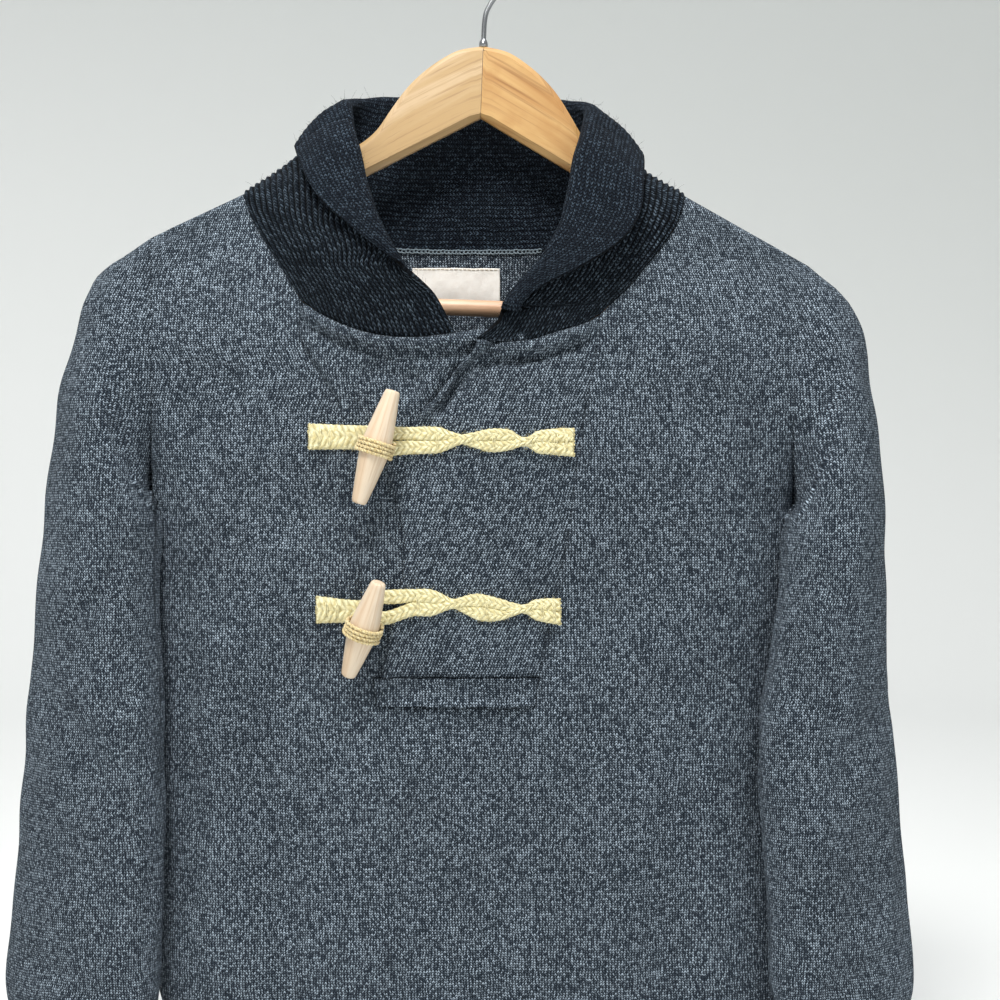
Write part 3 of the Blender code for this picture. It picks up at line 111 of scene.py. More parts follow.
def smooth(t: Array | float) -> Array:
    """A soft step from 0 to 1 as t goes from 0 to 1."""
    t = np.clip(t, 0.0, 1.0)
    return t * t * (3 - 2 * t)


def bump(away: Array, reach: float) -> Array:
    """A soft hump of height 1 that falls off over the reach."""
    return np.exp(-((away / reach) ** 2))


def unit(vectors: Array) -> Array:
    """The vectors of the last axis at length 1."""
    return vectors / np.maximum(np.linalg.norm(vectors, axis=-1, keepdims=True), 1e-12)


def stack(*parts: Array | float) -> Array:
    """Coordinates of one shape put together on a last axis."""
    return np.stack(np.broadcast_arrays(*parts), axis=-1).astype(float)


def grid_normals(grid: Array, closed: bool = False) -> Array:
    """Unit normals of a grid of points.

    Args:
        grid: rows by columns by 3.
        closed: True if the last column joins the first.

    Returns:
        Normals of the same shape, across the columns' direction and then the rows'.
    """
    if closed:
        across = np.roll(grid, -1, axis=1) - np.roll(grid, 1, axis=1)
    else:
        across = np.gradient(grid, axis=1)
    return unit(np.cross(across, np.gradient(grid, axis=0)))


def outward(rings: Array) -> Array:
    """Unit normals of closed rings, turned away from each ring's middle."""
    normals = grid_normals(rings, closed=True)
    away = ((rings - rings.mean(axis=1, keepdims=True)) * normals).sum(-1, keepdims=True)
    return np.where(away > 0, normals, -normals)


def around(count: int) -> Array:
    """Even turns once round, in radians."""
    return np.linspace(0, 2 * math.pi, count + 1)[:-1]


def waver(x: Array, z: Array, seed: int, length: float, count: int = 9) -> Array:
    """A soft uneven relief between about -1 and 1, the same on each run.

    Args:
        x: first coordinate.
        z: second coordinate.
        seed: which relief.
        length: its usual wave length in metres.
        count: how many waves are added up.

    Returns:
        The relief at each point.
    """
    rng = np.random.default_rng(seed)
    total = np.zeros(np.broadcast(x, z).shape)
    for _ in range(count):
        turn = rng.uniform(0, math.pi)
        wave = 2 * math.pi / (length * rng.uniform(0.6, 1.8))
        total += np.sin(wave * (x * math.cos(turn) + z * math.sin(turn)) + rng.uniform(0, 2 * math.pi))
    return total / math.sqrt(count)


def run_lengths(grid: Array, axis: int) -> Array:
    """Length run along one axis of a grid of points, from its start."""
    steps = np.linalg.norm(np.diff(grid, axis=axis), axis=-1)
    start = np.zeros_like(np.take(steps, [0], axis=axis))
    return np.cumsum(np.concatenate([start, steps], axis=axis), axis=axis)


# ---- meshes ---------------------------------------------------------------------------------------
@dataclass
class MeshMaker:
    """Gathers points, faces, their places on the cloth and their finishes, and makes one piece of them."""

    points: list[Array] = field(default_factory=list)
    faces: list[Array] = field(default_factory=list)
    places: list[Array] = field(default_factory=list)
    looks: list[Array] = field(default_factory=list)
    count: int = 0

    def add(self, points: Array, faces: Array, places: Array, look: int = 0) -> int:
        """Adds four-sided faces.

        Args:
            points: points, n by 3.
            faces: indices into these points, m by 4.
            places: the cloth place of each face's corners, m by 4 by 2, in metres.
            look: index of the finish.

        Returns:
            The index of the first point added.
        """
        first = self.count
        self.points.append(points)
        self.faces.append(faces + first)
        self.places.append(places)
        self.looks.append(np.full(len(faces), look))
        self.count += len(points)
        return first

    def add_grid(
        self, grid: Array, places: Array, look: int = 0, closed: bool = False, flip: bool = False
    ) -> int:
        """Adds a grid of points as one surface.

        Args:
            grid: rows by columns by 3.
            places: rows by columns (one more where closed) by 2.
            look: index of the finish.
            closed: True if the last column joins the first.
            flip: True to turn its faces round.

        Returns:
            The index of the first point added.
        """
        rows, columns = grid.shape[:2]
        faces, marks = squares(rows, columns, closed)
        if flip:
            faces, marks = faces[:, ::-1], marks[:, ::-1]
        flat = places.reshape(-1, 2)
        return self.add(grid.reshape(-1, 3), faces, flat[marks], look)

    def add_tube(
        self, path: Array, radius: Array | float, sides: int = 8, look: int = 0, flat: float = 1.0,
        up: Triple = (0.0, -1.0, 0.0), twist: Array | float = 0.0,
    ) -> None:  # fmt: skip
        """Adds a tube with closed ends round a path.

        Args:
            path: points, n by 3.
            radius: one radius or one for each point.
            sides: how many sides.
            look: index of the finish.
            flat: thickness along `up` as a share of the width.
            up: the direction that `flat` goes by.
            twist: turn of the section at each point, in radians.
        """
        along = unit(np.gradient(path, axis=0))
        aside = unit(np.cross(along, np.array(up)))
        front = unit(np.cross(aside, along))
        radius = np.broadcast_to(radius, (len(path),)).astype(float)
        radius = np.concatenate([[radius[0] * TUBE_END_RADIUS], radius, [radius[-1] * TUBE_END_RADIUS]])
        first_point = path[:1] - along[:1] * radius[1] * TUBE_END_REACH
        path = np.concatenate([first_point, path, path[-1:] + along[-1:] * radius[-2] * TUBE_END_REACH])
        aside = np.concatenate([aside[:1], aside, aside[-1:]])
        front = np.concatenate([front[:1], front, front[-1:]])
        twist = np.broadcast_to(twist, (len(path) - 2,))
        twist = np.concatenate([twist[:1], twist, twist[-1:]])[:, None, None]
        turn = (np.arange(sides) * 2 * math.pi / sides)[None, :, None] + twist
        ring = aside[:, None] * np.cos(turn) + front[:, None] * np.sin(turn) * flat
        grid = path[:, None] + ring * radius[:, None, None]
        run = run_lengths(path[:, None], 0)[:, 0]
        girth = 2 * math.pi * float(radius.max())
        places = stack(run[:, None] + np.zeros(sides + 1), np.linspace(0, girth, sides + 1)[None, :])
        first = self.add_grid(grid, places, look, closed=True)
        for row, step in ((0, -1), (len(path) - 1, 1)) if sides >= 4 else ():
            end = [first + row * sides + k for k in range(sides)][::step]
            faces = np.array([(end[k], end[k + 1], end[-k - 2], end[-k - 1]) for k in range(sides // 2 - 1)])
            self.faces.append(faces)
            self.places.append(np.zeros((len(faces), 4, 2)))
            self.looks.append(np.full(len(faces), look))

    def add_cap(self, ring: Array, flip: bool = False) -> None:
        """Closes a ring of points towards its middle."""
        disc = np.stack([ring, ring.mean(axis=0) + 0 * ring])
        self.add_grid(disc, np.zeros((2, len(ring) + 1, 2)), closed=True, flip=flip)

    def make(self, name: str, finishes: list[Material], sharp: float = 180.0) -> bpy.types.Object:
        """Makes the piece, with all its faces turned out, riding on the body.

        Args:
            name: the piece's name.
            finishes: its materials.
            sharp: edges bent by more degrees than this are sharp.

        Returns:
            The new object.
        """
        points, faces = np.concatenate(self.points), np.concatenate(self.faces)
        places, looks = np.concatenate(self.places), np.concatenate(self.looks)
        mesh = bpy.data.meshes.new(name)
        mesh.vertices.add(len(points))
        mesh.vertices.foreach_set("co", points.astype(np.float32).ravel())
        mesh.loops.add(faces.size)
        mesh.loops.foreach_set("vertex_index", faces.astype(np.int32).ravel())
        mesh.polygons.add(len(faces))
        mesh.polygons.foreach_set("loop_start", np.arange(0, faces.size, 4, dtype=np.int32))
        mesh.polygons.foreach_set("material_index", looks.astype(np.int32))
        layer = mesh.uv_layers.new(name="cloth")
        layer.uv.foreach_set("vector", places.astype(np.float32).ravel())
        mesh.update(calc_edges=True)
        made = bmesh.new()
        made.from_mesh(mesh)
        bmesh.ops.recalc_face_normals(made, faces=made.faces)
        made.to_mesh(mesh)
        made.free()
        mesh.shade_smooth()
        if sharp < 180.0:
            mesh.set_sharp_from_angle(angle=math.radians(sharp))
        for finish in finishes:
            mesh.materials.append(finish)
        obj = bpy.data.objects.new(name, mesh)
        bpy.context.scene.collection.objects.link(obj)
        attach(obj, ROOT)
        LOG.info("%s: %d faces", name, len(faces))
        return obj


def squares(rows: int, columns: int, closed: bool) -> tuple[Array, Array]:
    """Four-sided faces of a grid, and where their corners lie in the grid of cloth places.

    Args:
        rows: rows of points.
        columns: columns of points.
        closed: True if the last column joins the first.

    Returns:
        Point indices, m by 4, and place indices, m by 4.
    """
    across = columns if closed else columns - 1
    wide = columns + 1 if closed else columns
    r, c = np.meshgrid(np.arange(rows - 1), np.arange(across), indexing="ij")
    r, c = r.ravel(), c.ravel()
    corners = ((r, c), (r, c + 1), (r + 1, c + 1), (r + 1, c))
    faces = np.stack([a * columns + b % columns for a, b in corners], axis=1)
    marks = np.stack([a * wide + b for a, b in corners], axis=1)
    return faces, marks


def add_shell(
    maker: MeshMaker,
    outer: Array,
    inner: Array,
    places: Array,
    closed: bool = False,
    present: Array | None = None,
    looks: tuple[int, int, int] = (0, 0, 0),
) -> None:
    """Adds a cloth shell between two grids of the same size, with a rim round its edges.

    Args:
        maker: what gathers the piece.
        outer: outer points, rows by columns by 3.
        inner: inner points, of the same shape.
        places: cloth places of the grid in metres.
        closed: True if the last column joins the first.
        present: which squares are there, rows - 1 by columns - 1; None for all of them.
        looks: finishes of outside, inside and rim.
    """
    rows, columns = outer.shape[:2]
    faces, marks = squares(rows, columns, closed)
    if present is not None:
        faces, marks = faces[present.ravel()], marks[present.ravel()]
    flat = places.reshape(-1, 2)
    start = maker.add(outer.reshape(-1, 3), faces, flat[marks], looks[0])
    maker.add(inner.reshape(-1, 3), faces[:, ::-1], flat[marks[:, ::-1]], looks[1])
    ends = np.concatenate([faces[:, [k, (k + 1) % 4]] for k in range(4)])
    spots = np.concatenate([marks[:, [k, (k + 1) % 4]] for k in range(4)])
    total = rows * columns
    codes, back = ends[:, 0] * total + ends[:, 1], ends[:, 1] * total + ends[:, 0]
    open_edge = ~np.isin(codes, back)
    ends, spots = ends[open_edge], spots[open_edge]
    rim = np.stack([ends[:, 1], ends[:, 0], ends[:, 0] + total, ends[:, 1] + total], axis=1)
    rim_places = flat[np.stack([spots[:, 1], spots[:, 0], spots[:, 0], spots[:, 1]], axis=1)]
    maker.faces.append(rim + start)
    maker.places.append(rim_places)
    maker.looks.append(np.full(len(rim), looks[2]))


# ---- named sizes of the forms ---------------------------------------------------------------------
# Body: z, x of its left and right side, depth of front and back.
TORSO: Table = (
    (-0.877, -0.238, 0.214, 0.037, 0.031), (-0.845, -0.2405, 0.2165, 0.0385, 0.032),
    (-0.8117, -0.2425, 0.2185, 0.04, 0.033), (-0.785, -0.248, 0.224, 0.043, 0.035),
    (-0.7, -0.2485, 0.2235, 0.0445, 0.036), (-0.6, -0.248, 0.223, 0.0455, 0.036),
    (-0.5, -0.2495, 0.226, 0.0455, 0.0355), (-0.4165, -0.252, 0.229, 0.0455, 0.035),
    (-0.34, -0.25, 0.229, 0.0455, 0.0345), (-0.29, -0.25, 0.229, 0.0445, 0.034),
    (-0.24, -0.25, 0.23, 0.042, 0.0335), (-0.1, -0.25, 0.23, 0.04, 0.033),
)
# How much the level rows lean: level, slope.
LEAN: Table = (
    (-0.877, 0.0), (-0.5765, 0.0), (-0.4165, 0.0353), (-0.2894, 0.0512),
)
# Armholes: share of the way up, inset on the left and the right.
ARMHOLE_INSET: Table = (
    (0.0, 0.0, 0.0), (0.2, 0.0045, 0.006), (0.5, 0.008, 0.01), (0.8, 0.004, 0.005), (1.0, 0.0, 0.0),
)
# Front neck edge: share of the way up, x on the left and the right.
NECK_EDGE: Table = (
    (0.0, -0.1353, 0.0816), (0.19, -0.1475, 0.1037), (0.374, -0.1584, 0.119), (0.53, -0.1668, 0.1301),
    (0.74, -0.176, 0.1415), (1.0, -0.1832, 0.1488),
)
# Placket's window: z, x of its left and right edge.
WINDOW_EDGE: Table = (
    (-0.877, -0.08, 0.035), (-0.5765, -0.0805, 0.0355), (-0.54, -0.085, 0.0405), (-0.4998, -0.0899, 0.049),
    (-0.4494, -0.0914, 0.059), (-0.4019, -0.0965, 0.0648), (-0.3572, -0.1085, 0.072),
    (-0.3166, -0.1329, 0.0795), (-0.2831, -0.1353, 0.0816),
)
# Back neck: x, z.
BACK_NECK: Table = (
    (-0.1832, -0.1962), (-0.165, -0.2095), (-0.14, -0.2225), (-0.105, -0.232), (-0.06, -0.236),
    (-0.015, -0.2366), (0.035, -0.236), (0.08, -0.2315), (0.112, -0.2215), (0.1345, -0.211),
    (0.1488, -0.1995),
)
# Folds: x and z of the middle, half width, half length, turn in degrees, depth.
FRONT_FOLDS: Table = (
    (-0.156, -0.7, 0.02, 0.115, 4.0, -0.0055), (-0.2, -0.69, 0.018, 0.12, 2.0, 0.0025),
    (0.004, -0.76, 0.018, 0.07, 0.0, -0.003), (0.142, -0.7, 0.02, 0.12, -5.0, -0.0055),
    (0.1, -0.72, 0.018, 0.1, -3.0, 0.002), (0.165, -0.335, 0.03, 0.03, 0.0, 0.0025),
    (-0.195, -0.33, 0.016, 0.06, 20.0, -0.0025),
)
BACK_FOLDS: Table = (
    (-0.12, -0.64, 0.022, 0.15, 5.0, -0.0055), (-0.03, -0.56, 0.02, 0.19, -2.0, -0.004),
    (0.09, -0.65, 0.024, 0.15, -4.0, -0.0055), (-0.02, -0.3, 0.06, 0.022, 0.0, -0.0025),
)
# Sleeve rings: x and z of the outer edge, x and z of the inner edge, its y, half depth.
LEFT_SLEEVE: Table = (
    (-0.2815, -0.249, -0.2535, -0.413, -0.006, 0.032), (-0.2915, -0.26, -0.2528, -0.417, -0.011, 0.0345),
    (-0.2995, -0.2785, -0.2512, -0.423, -0.017, 0.0365), (-0.306, -0.3086, -0.2465, -0.431, -0.029, 0.038),
    (-0.3117, -0.3384, -0.242, -0.442, -0.036, 0.0385), (-0.3154, -0.3682, -0.24, -0.454, -0.04, 0.038),
    (-0.32, -0.404, -0.2395, -0.47, -0.042, 0.0365), (-0.325, -0.442, -0.239, -0.488, -0.043, 0.035),
    (-0.3325, -0.5172, -0.2365, -0.53, -0.043, 0.0325), (-0.338, -0.568, -0.234, -0.572, -0.044, 0.031),
    (-0.342, -0.622, -0.2325, -0.624, -0.044, 0.0295), (-0.3462, -0.676, -0.233, -0.677, -0.044, 0.028),
    (-0.352, -0.7258, -0.235, -0.726, -0.044, 0.0268), (-0.3572, -0.78, -0.2375, -0.78, -0.043, 0.0258),
    (-0.35, -0.821, -0.246, -0.821, -0.04, 0.0225),
)
RIGHT_SLEEVE: Table = (
    (0.261, -0.2675, 0.2305, -0.429, -0.006, 0.032), (0.2705, -0.2785, 0.23, -0.4325, -0.011, 0.0345),
    (0.2768, -0.294, 0.229, -0.437, -0.017, 0.036), (0.2785, -0.313, 0.2235, -0.443, -0.029, 0.037),
    (0.2808, -0.342, 0.2195, -0.452, -0.036, 0.0378), (0.2835, -0.372, 0.2175, -0.462, -0.04, 0.0375),
    (0.2862, -0.406, 0.216, -0.475, -0.042, 0.0365), (0.2885, -0.442, 0.214, -0.49, -0.043, 0.035),
    (0.2908, -0.498, 0.211, -0.518, -0.044, 0.033), (0.293, -0.535, 0.207, -0.543, -0.0445, 0.0315),
    (0.297, -0.5768, 0.199, -0.58, -0.046, 0.03), (0.302, -0.628, 0.1965, -0.629, -0.047, 0.0285),
    (0.306, -0.676, 0.201, -0.6765, -0.0465, 0.0272), (0.311, -0.7258, 0.2035, -0.726, -0.0455, 0.026),
    (0.316, -0.778, 0.2055, -0.778, -0.0445, 0.025), (0.3085, -0.816, 0.215, -0.816, -0.0415, 0.022),
)
# Collar: station, knee, roll and free edge (x, y, z each), radius of the roll, puff of the fall.
COLLAR: Table = (
    (0.0, -0.092, -0.0405, -0.303, -0.048, -0.042, -0.309, -0.0228, -0.043, -0.3065, 0.03, 0.0),
    (0.15, -0.098, -0.043, -0.283, -0.056, -0.0455, -0.283, -0.0365, -0.048, -0.281, 0.018, 0.0),
    (0.22, -0.102, -0.044, -0.272, -0.06, -0.047, -0.271, -0.046, -0.052, -0.271, 0.01, 0.0),
    (0.3, -0.106, -0.0455, -0.262, -0.0635, -0.048, -0.26, -0.057, -0.056, -0.262, 0.0065, 0.0),
    (0.45, -0.118, -0.0455, -0.244, -0.072, -0.047, -0.245, -0.08, -0.058, -0.247, 0.0062, 0.001),
    (0.6, -0.127, -0.042, -0.23, -0.0815, -0.043, -0.228, -0.098, -0.056, -0.232, 0.0062, 0.0015),
    (0.75, -0.136, -0.0355, -0.21, -0.091, -0.032, -0.206, -0.119, -0.049, -0.212, 0.0065, 0.002),
    (0.88, -0.144, -0.024, -0.193, -0.098, -0.02, -0.181, -0.133, -0.036, -0.1905, 0.0065, 0.003),
    (1.0, -0.146, -0.005, -0.178, -0.103, -0.006, -0.154, -0.144, -0.008, -0.1655, 0.0065, 0.003),
    (1.14, -0.148, 0.006, -0.176, -0.105, 0.005, -0.138, -0.145, 0.005, -0.159, 0.007, 0.004),
    (1.3, -0.135, 0.017, -0.178, -0.102, 0.017, -0.128, -0.134, 0.025, -0.1545, 0.007, 0.004),
    (1.42, -0.112, 0.027, -0.178, -0.092, 0.026, -0.122, -0.11, 0.041, -0.152, 0.007, 0.002),
    (1.6, -0.075, 0.031, -0.178, -0.068, 0.031, -0.12, -0.074, 0.047, -0.15, 0.007, 0.001),
    (2.0, -0.015, 0.032, -0.178, -0.015, 0.033, -0.12, -0.015, 0.049, -0.15, 0.007, 0.001),
    (2.4, 0.044, 0.031, -0.178, 0.04, 0.031, -0.1215, 0.044, 0.047, -0.151, 0.007, 0.001),
    (2.58, 0.082, 0.027, -0.18, 0.062, 0.026, -0.125, 0.08, 0.041, -0.154, 0.007, 0.002),
    (2.7, 0.101, 0.017, -0.181, 0.072, 0.017, -0.131, 0.102, 0.025, -0.159, 0.007, 0.004),
    (2.86, 0.114, 0.006, -0.18, 0.075, 0.005, -0.143, 0.116, 0.004, -0.166, 0.007, 0.004),
    (3.0, 0.113, -0.005, -0.183, 0.074, -0.007, -0.158, 0.1175, -0.009, -0.172, 0.007, 0.003),
    (3.12, 0.11, -0.024, -0.196, 0.07, -0.02, -0.18, 0.114, -0.037, -0.195, 0.007, 0.003),
    (3.25, 0.104, -0.037, -0.211, 0.066, -0.032, -0.203, 0.11, -0.05, -0.221, 0.0068, 0.002),
    (3.4, 0.092, -0.044, -0.231, 0.058, -0.041, -0.228, 0.095, -0.058, -0.243, 0.0065, 0.002),
    (3.56, 0.077, -0.046, -0.252, 0.045, -0.045, -0.251, 0.068, -0.061, -0.261, 0.0062, 0.001),
    (3.72, 0.062, -0.046, -0.27, 0.029, -0.0465, -0.269, 0.042, -0.059, -0.274, 0.006, 0.0),
    (3.84, 0.057, -0.045, -0.284, 0.019, -0.047, -0.283, 0.0255, -0.056, -0.286, 0.007, 0.0),
    (3.91, 0.054, -0.045, -0.292, 0.016, -0.047, -0.293, 0.01, -0.0515, -0.2965, 0.009, 0.0),
    (3.96, 0.052, -0.0445, -0.3, 0.015, -0.0465, -0.303, 0.001, -0.0485, -0.305, 0.016, 0.0),
    (4.0, 0.05, -0.044, -0.307, 0.015, -0.046, -0.312, -0.0078, -0.0465, -0.3115, 0.03, 0.0),
)
# Seams of the collar's short ends: x, z.
LEFT_END: Table = (
    (-0.1349, -0.2825), (-0.12, -0.2925), (-0.1053, -0.2998), (-0.0908, -0.305), (-0.0743, -0.3086),
    (-0.0597, -0.3098), (-0.0415, -0.3092), (-0.0228, -0.3067), (-0.01, -0.3045), (0.06, -0.302),
)
RIGHT_END: Table = (
    (-0.0078, -0.3115), (0.008, -0.3127), (0.0204, -0.3128), (0.033, -0.3114), (0.0447, -0.3084),
    (0.061, -0.3034), (0.0731, -0.2984), (0.0804, -0.2934),
)
# Over placket's free edge: z, x.
OVERLAP_EDGE: Table = (
    (-0.56, -0.0765), (-0.5281, -0.0708), (-0.4922, -0.0622), (-0.454, -0.0592), (-0.428, -0.065),
    (-0.4027, -0.0725), (-0.3848, -0.0622), (-0.361, -0.045), (-0.3447, -0.0339), (-0.3301, -0.0212),
    (-0.321, -0.011), (-0.3113, -0.0078),
)
# Braids: x, z of the upper and the lower edge.
UPPER_LOOP: Table = (
    (-0.093, -0.379, -0.396), (-0.085, -0.3745, -0.3985), (-0.0646, -0.375, -0.3955),
    (-0.0427, -0.3755, -0.395), (-0.0334, -0.376, -0.394), (-0.0172, -0.38, -0.389),
    (0.0023, -0.3768, -0.3935), (0.016, -0.3775, -0.3925), (0.027, -0.3818, -0.3905),
    (0.036, -0.3778, -0.3945), (0.047, -0.3768, -0.3955), (0.0622, -0.3763, -0.3964),
)
LOWER_LOOP: Table = (
    (-0.093, -0.495, -0.5165), (-0.085, -0.4925, -0.518), (-0.0712, -0.4922, -0.517),
    (-0.053, -0.4915, -0.511), (-0.04, -0.4922, -0.5108), (-0.024, -0.4975, -0.5072),
    (-0.006, -0.4948, -0.514), (0.011, -0.4988, -0.5142), (0.0252, -0.503, -0.5094),
    (0.033, -0.4992, -0.5135), (0.042, -0.4985, -0.5155), (0.052, -0.4982, -0.5175),
)
# Outline of a hanger arm's top and end: along it, down from the top of the wood.
ARM_TOP: Table = (
    (0.0, 0.0), (0.0189, 0.004), (0.0342, 0.013), (0.0464, 0.023), (0.0575, 0.0351), (0.0686, 0.0517),
    (0.0769, 0.0648), (0.086, 0.074), (0.096, 0.0806), (0.12, 0.095),
)
ARM_END: Table = (
    (0.219, 0.15), (0.2235, 0.155), (0.225, 0.16), (0.222, 0.178), (0.2165, 0.196), (0.208, 0.206),
    (0.196, 0.208), (0.188, 0.206), (0.188, 0.186), (0.182, 0.17), (0.17, 0.154), (0.15, 0.137),
)
# Creases, as ridges and troughs: x and z of one end, x and z of the other, half width, depth.
FRONT_CREASES: Table = (
    (-0.139, -0.312, -0.11, -0.362, 0.0026, -0.003), (-0.13, -0.309, -0.104, -0.356, 0.0028, 0.0016),
    (-0.1075, -0.333, -0.09, -0.366, 0.0026, -0.0028), (-0.088, -0.331, -0.048, -0.346, 0.009, -0.008),
    (-0.02, -0.33, -0.038, -0.362, 0.0075, -0.0065), (-0.006, -0.332, 0.042, -0.324, 0.007, -0.0055),
    (-0.225, -0.35, -0.205, -0.415, 0.01, -0.003), (0.205, -0.35, 0.19, -0.415, 0.01, -0.003),
    (-0.098, -0.6, 0.03, -0.596, 0.0045, -0.0012), (-0.15, -0.25, -0.22, -0.305, 0.016, -0.0016),
    (0.14, -0.25, 0.205, -0.305, 0.016, -0.0016), (-0.1, -0.42, -0.096, -0.47, 0.006, -0.0026),
    (0.048, -0.33, 0.056, -0.44, 0.0035, -0.0008), (-0.235, -0.455, -0.223, -0.66, 0.012, -0.004),
    (0.214, -0.455, 0.202, -0.66, 0.012, -0.004),
)
BACK_CREASES: Table = (
    (-0.22, -0.34, -0.15, -0.41, 0.013, -0.003), (0.2, -0.35, 0.13, -0.42, 0.013, -0.003),
    (-0.09, -0.27, 0.06, -0.272, 0.01, -0.0015), (-0.19, -0.6, -0.15, -0.78, 0.018, -0.003),
    (0.16, -0.62, 0.14, -0.78, 0.018, 0.0025),
)
LEFT_SLEEVE_CREASES: Table = (
    (-0.25, -0.46, -0.3, -0.52, 0.01, -0.0035), (-0.242, -0.56, -0.295, -0.59, 0.009, -0.0025),
    (-0.325, -0.56, -0.27, -0.63, 0.012, -0.003), (-0.34, -0.76, -0.27, -0.785, 0.009, -0.0028),
    (-0.295, -0.34, -0.306, -0.46, 0.014, 0.002), (-0.264, -0.356, -0.244, -0.39, 0.0024, -0.0024),
    (-0.24, -0.47, -0.232, -0.66, 0.011, -0.0025),
)
RIGHT_SLEEVE_CREASES: Table = (
    (0.225, -0.47, 0.265, -0.53, 0.01, -0.0035), (0.21, -0.565, 0.262, -0.595, 0.009, -0.003),
    (0.29, -0.57, 0.24, -0.64, 0.012, -0.003), (0.305, -0.75, 0.235, -0.78, 0.009, -0.0028),
    (0.27, -0.35, 0.275, -0.46, 0.014, 0.002), (0.253, -0.345, 0.223, -0.392, 0.0024, -0.003),
    (0.219, -0.47, 0.211, -0.66, 0.011, -0.0025),
)
UPPER_TAB: Table = (
    (-0.1278, -0.3728, -0.3915), (-0.095, -0.374, -0.3915), (-0.067, -0.3745, -0.393),
)
LOWER_TAB: Table = (
    (-0.1221, -0.4969, -0.5168), (-0.099, -0.4995, -0.516), (-0.077, -0.5, -0.517),
)


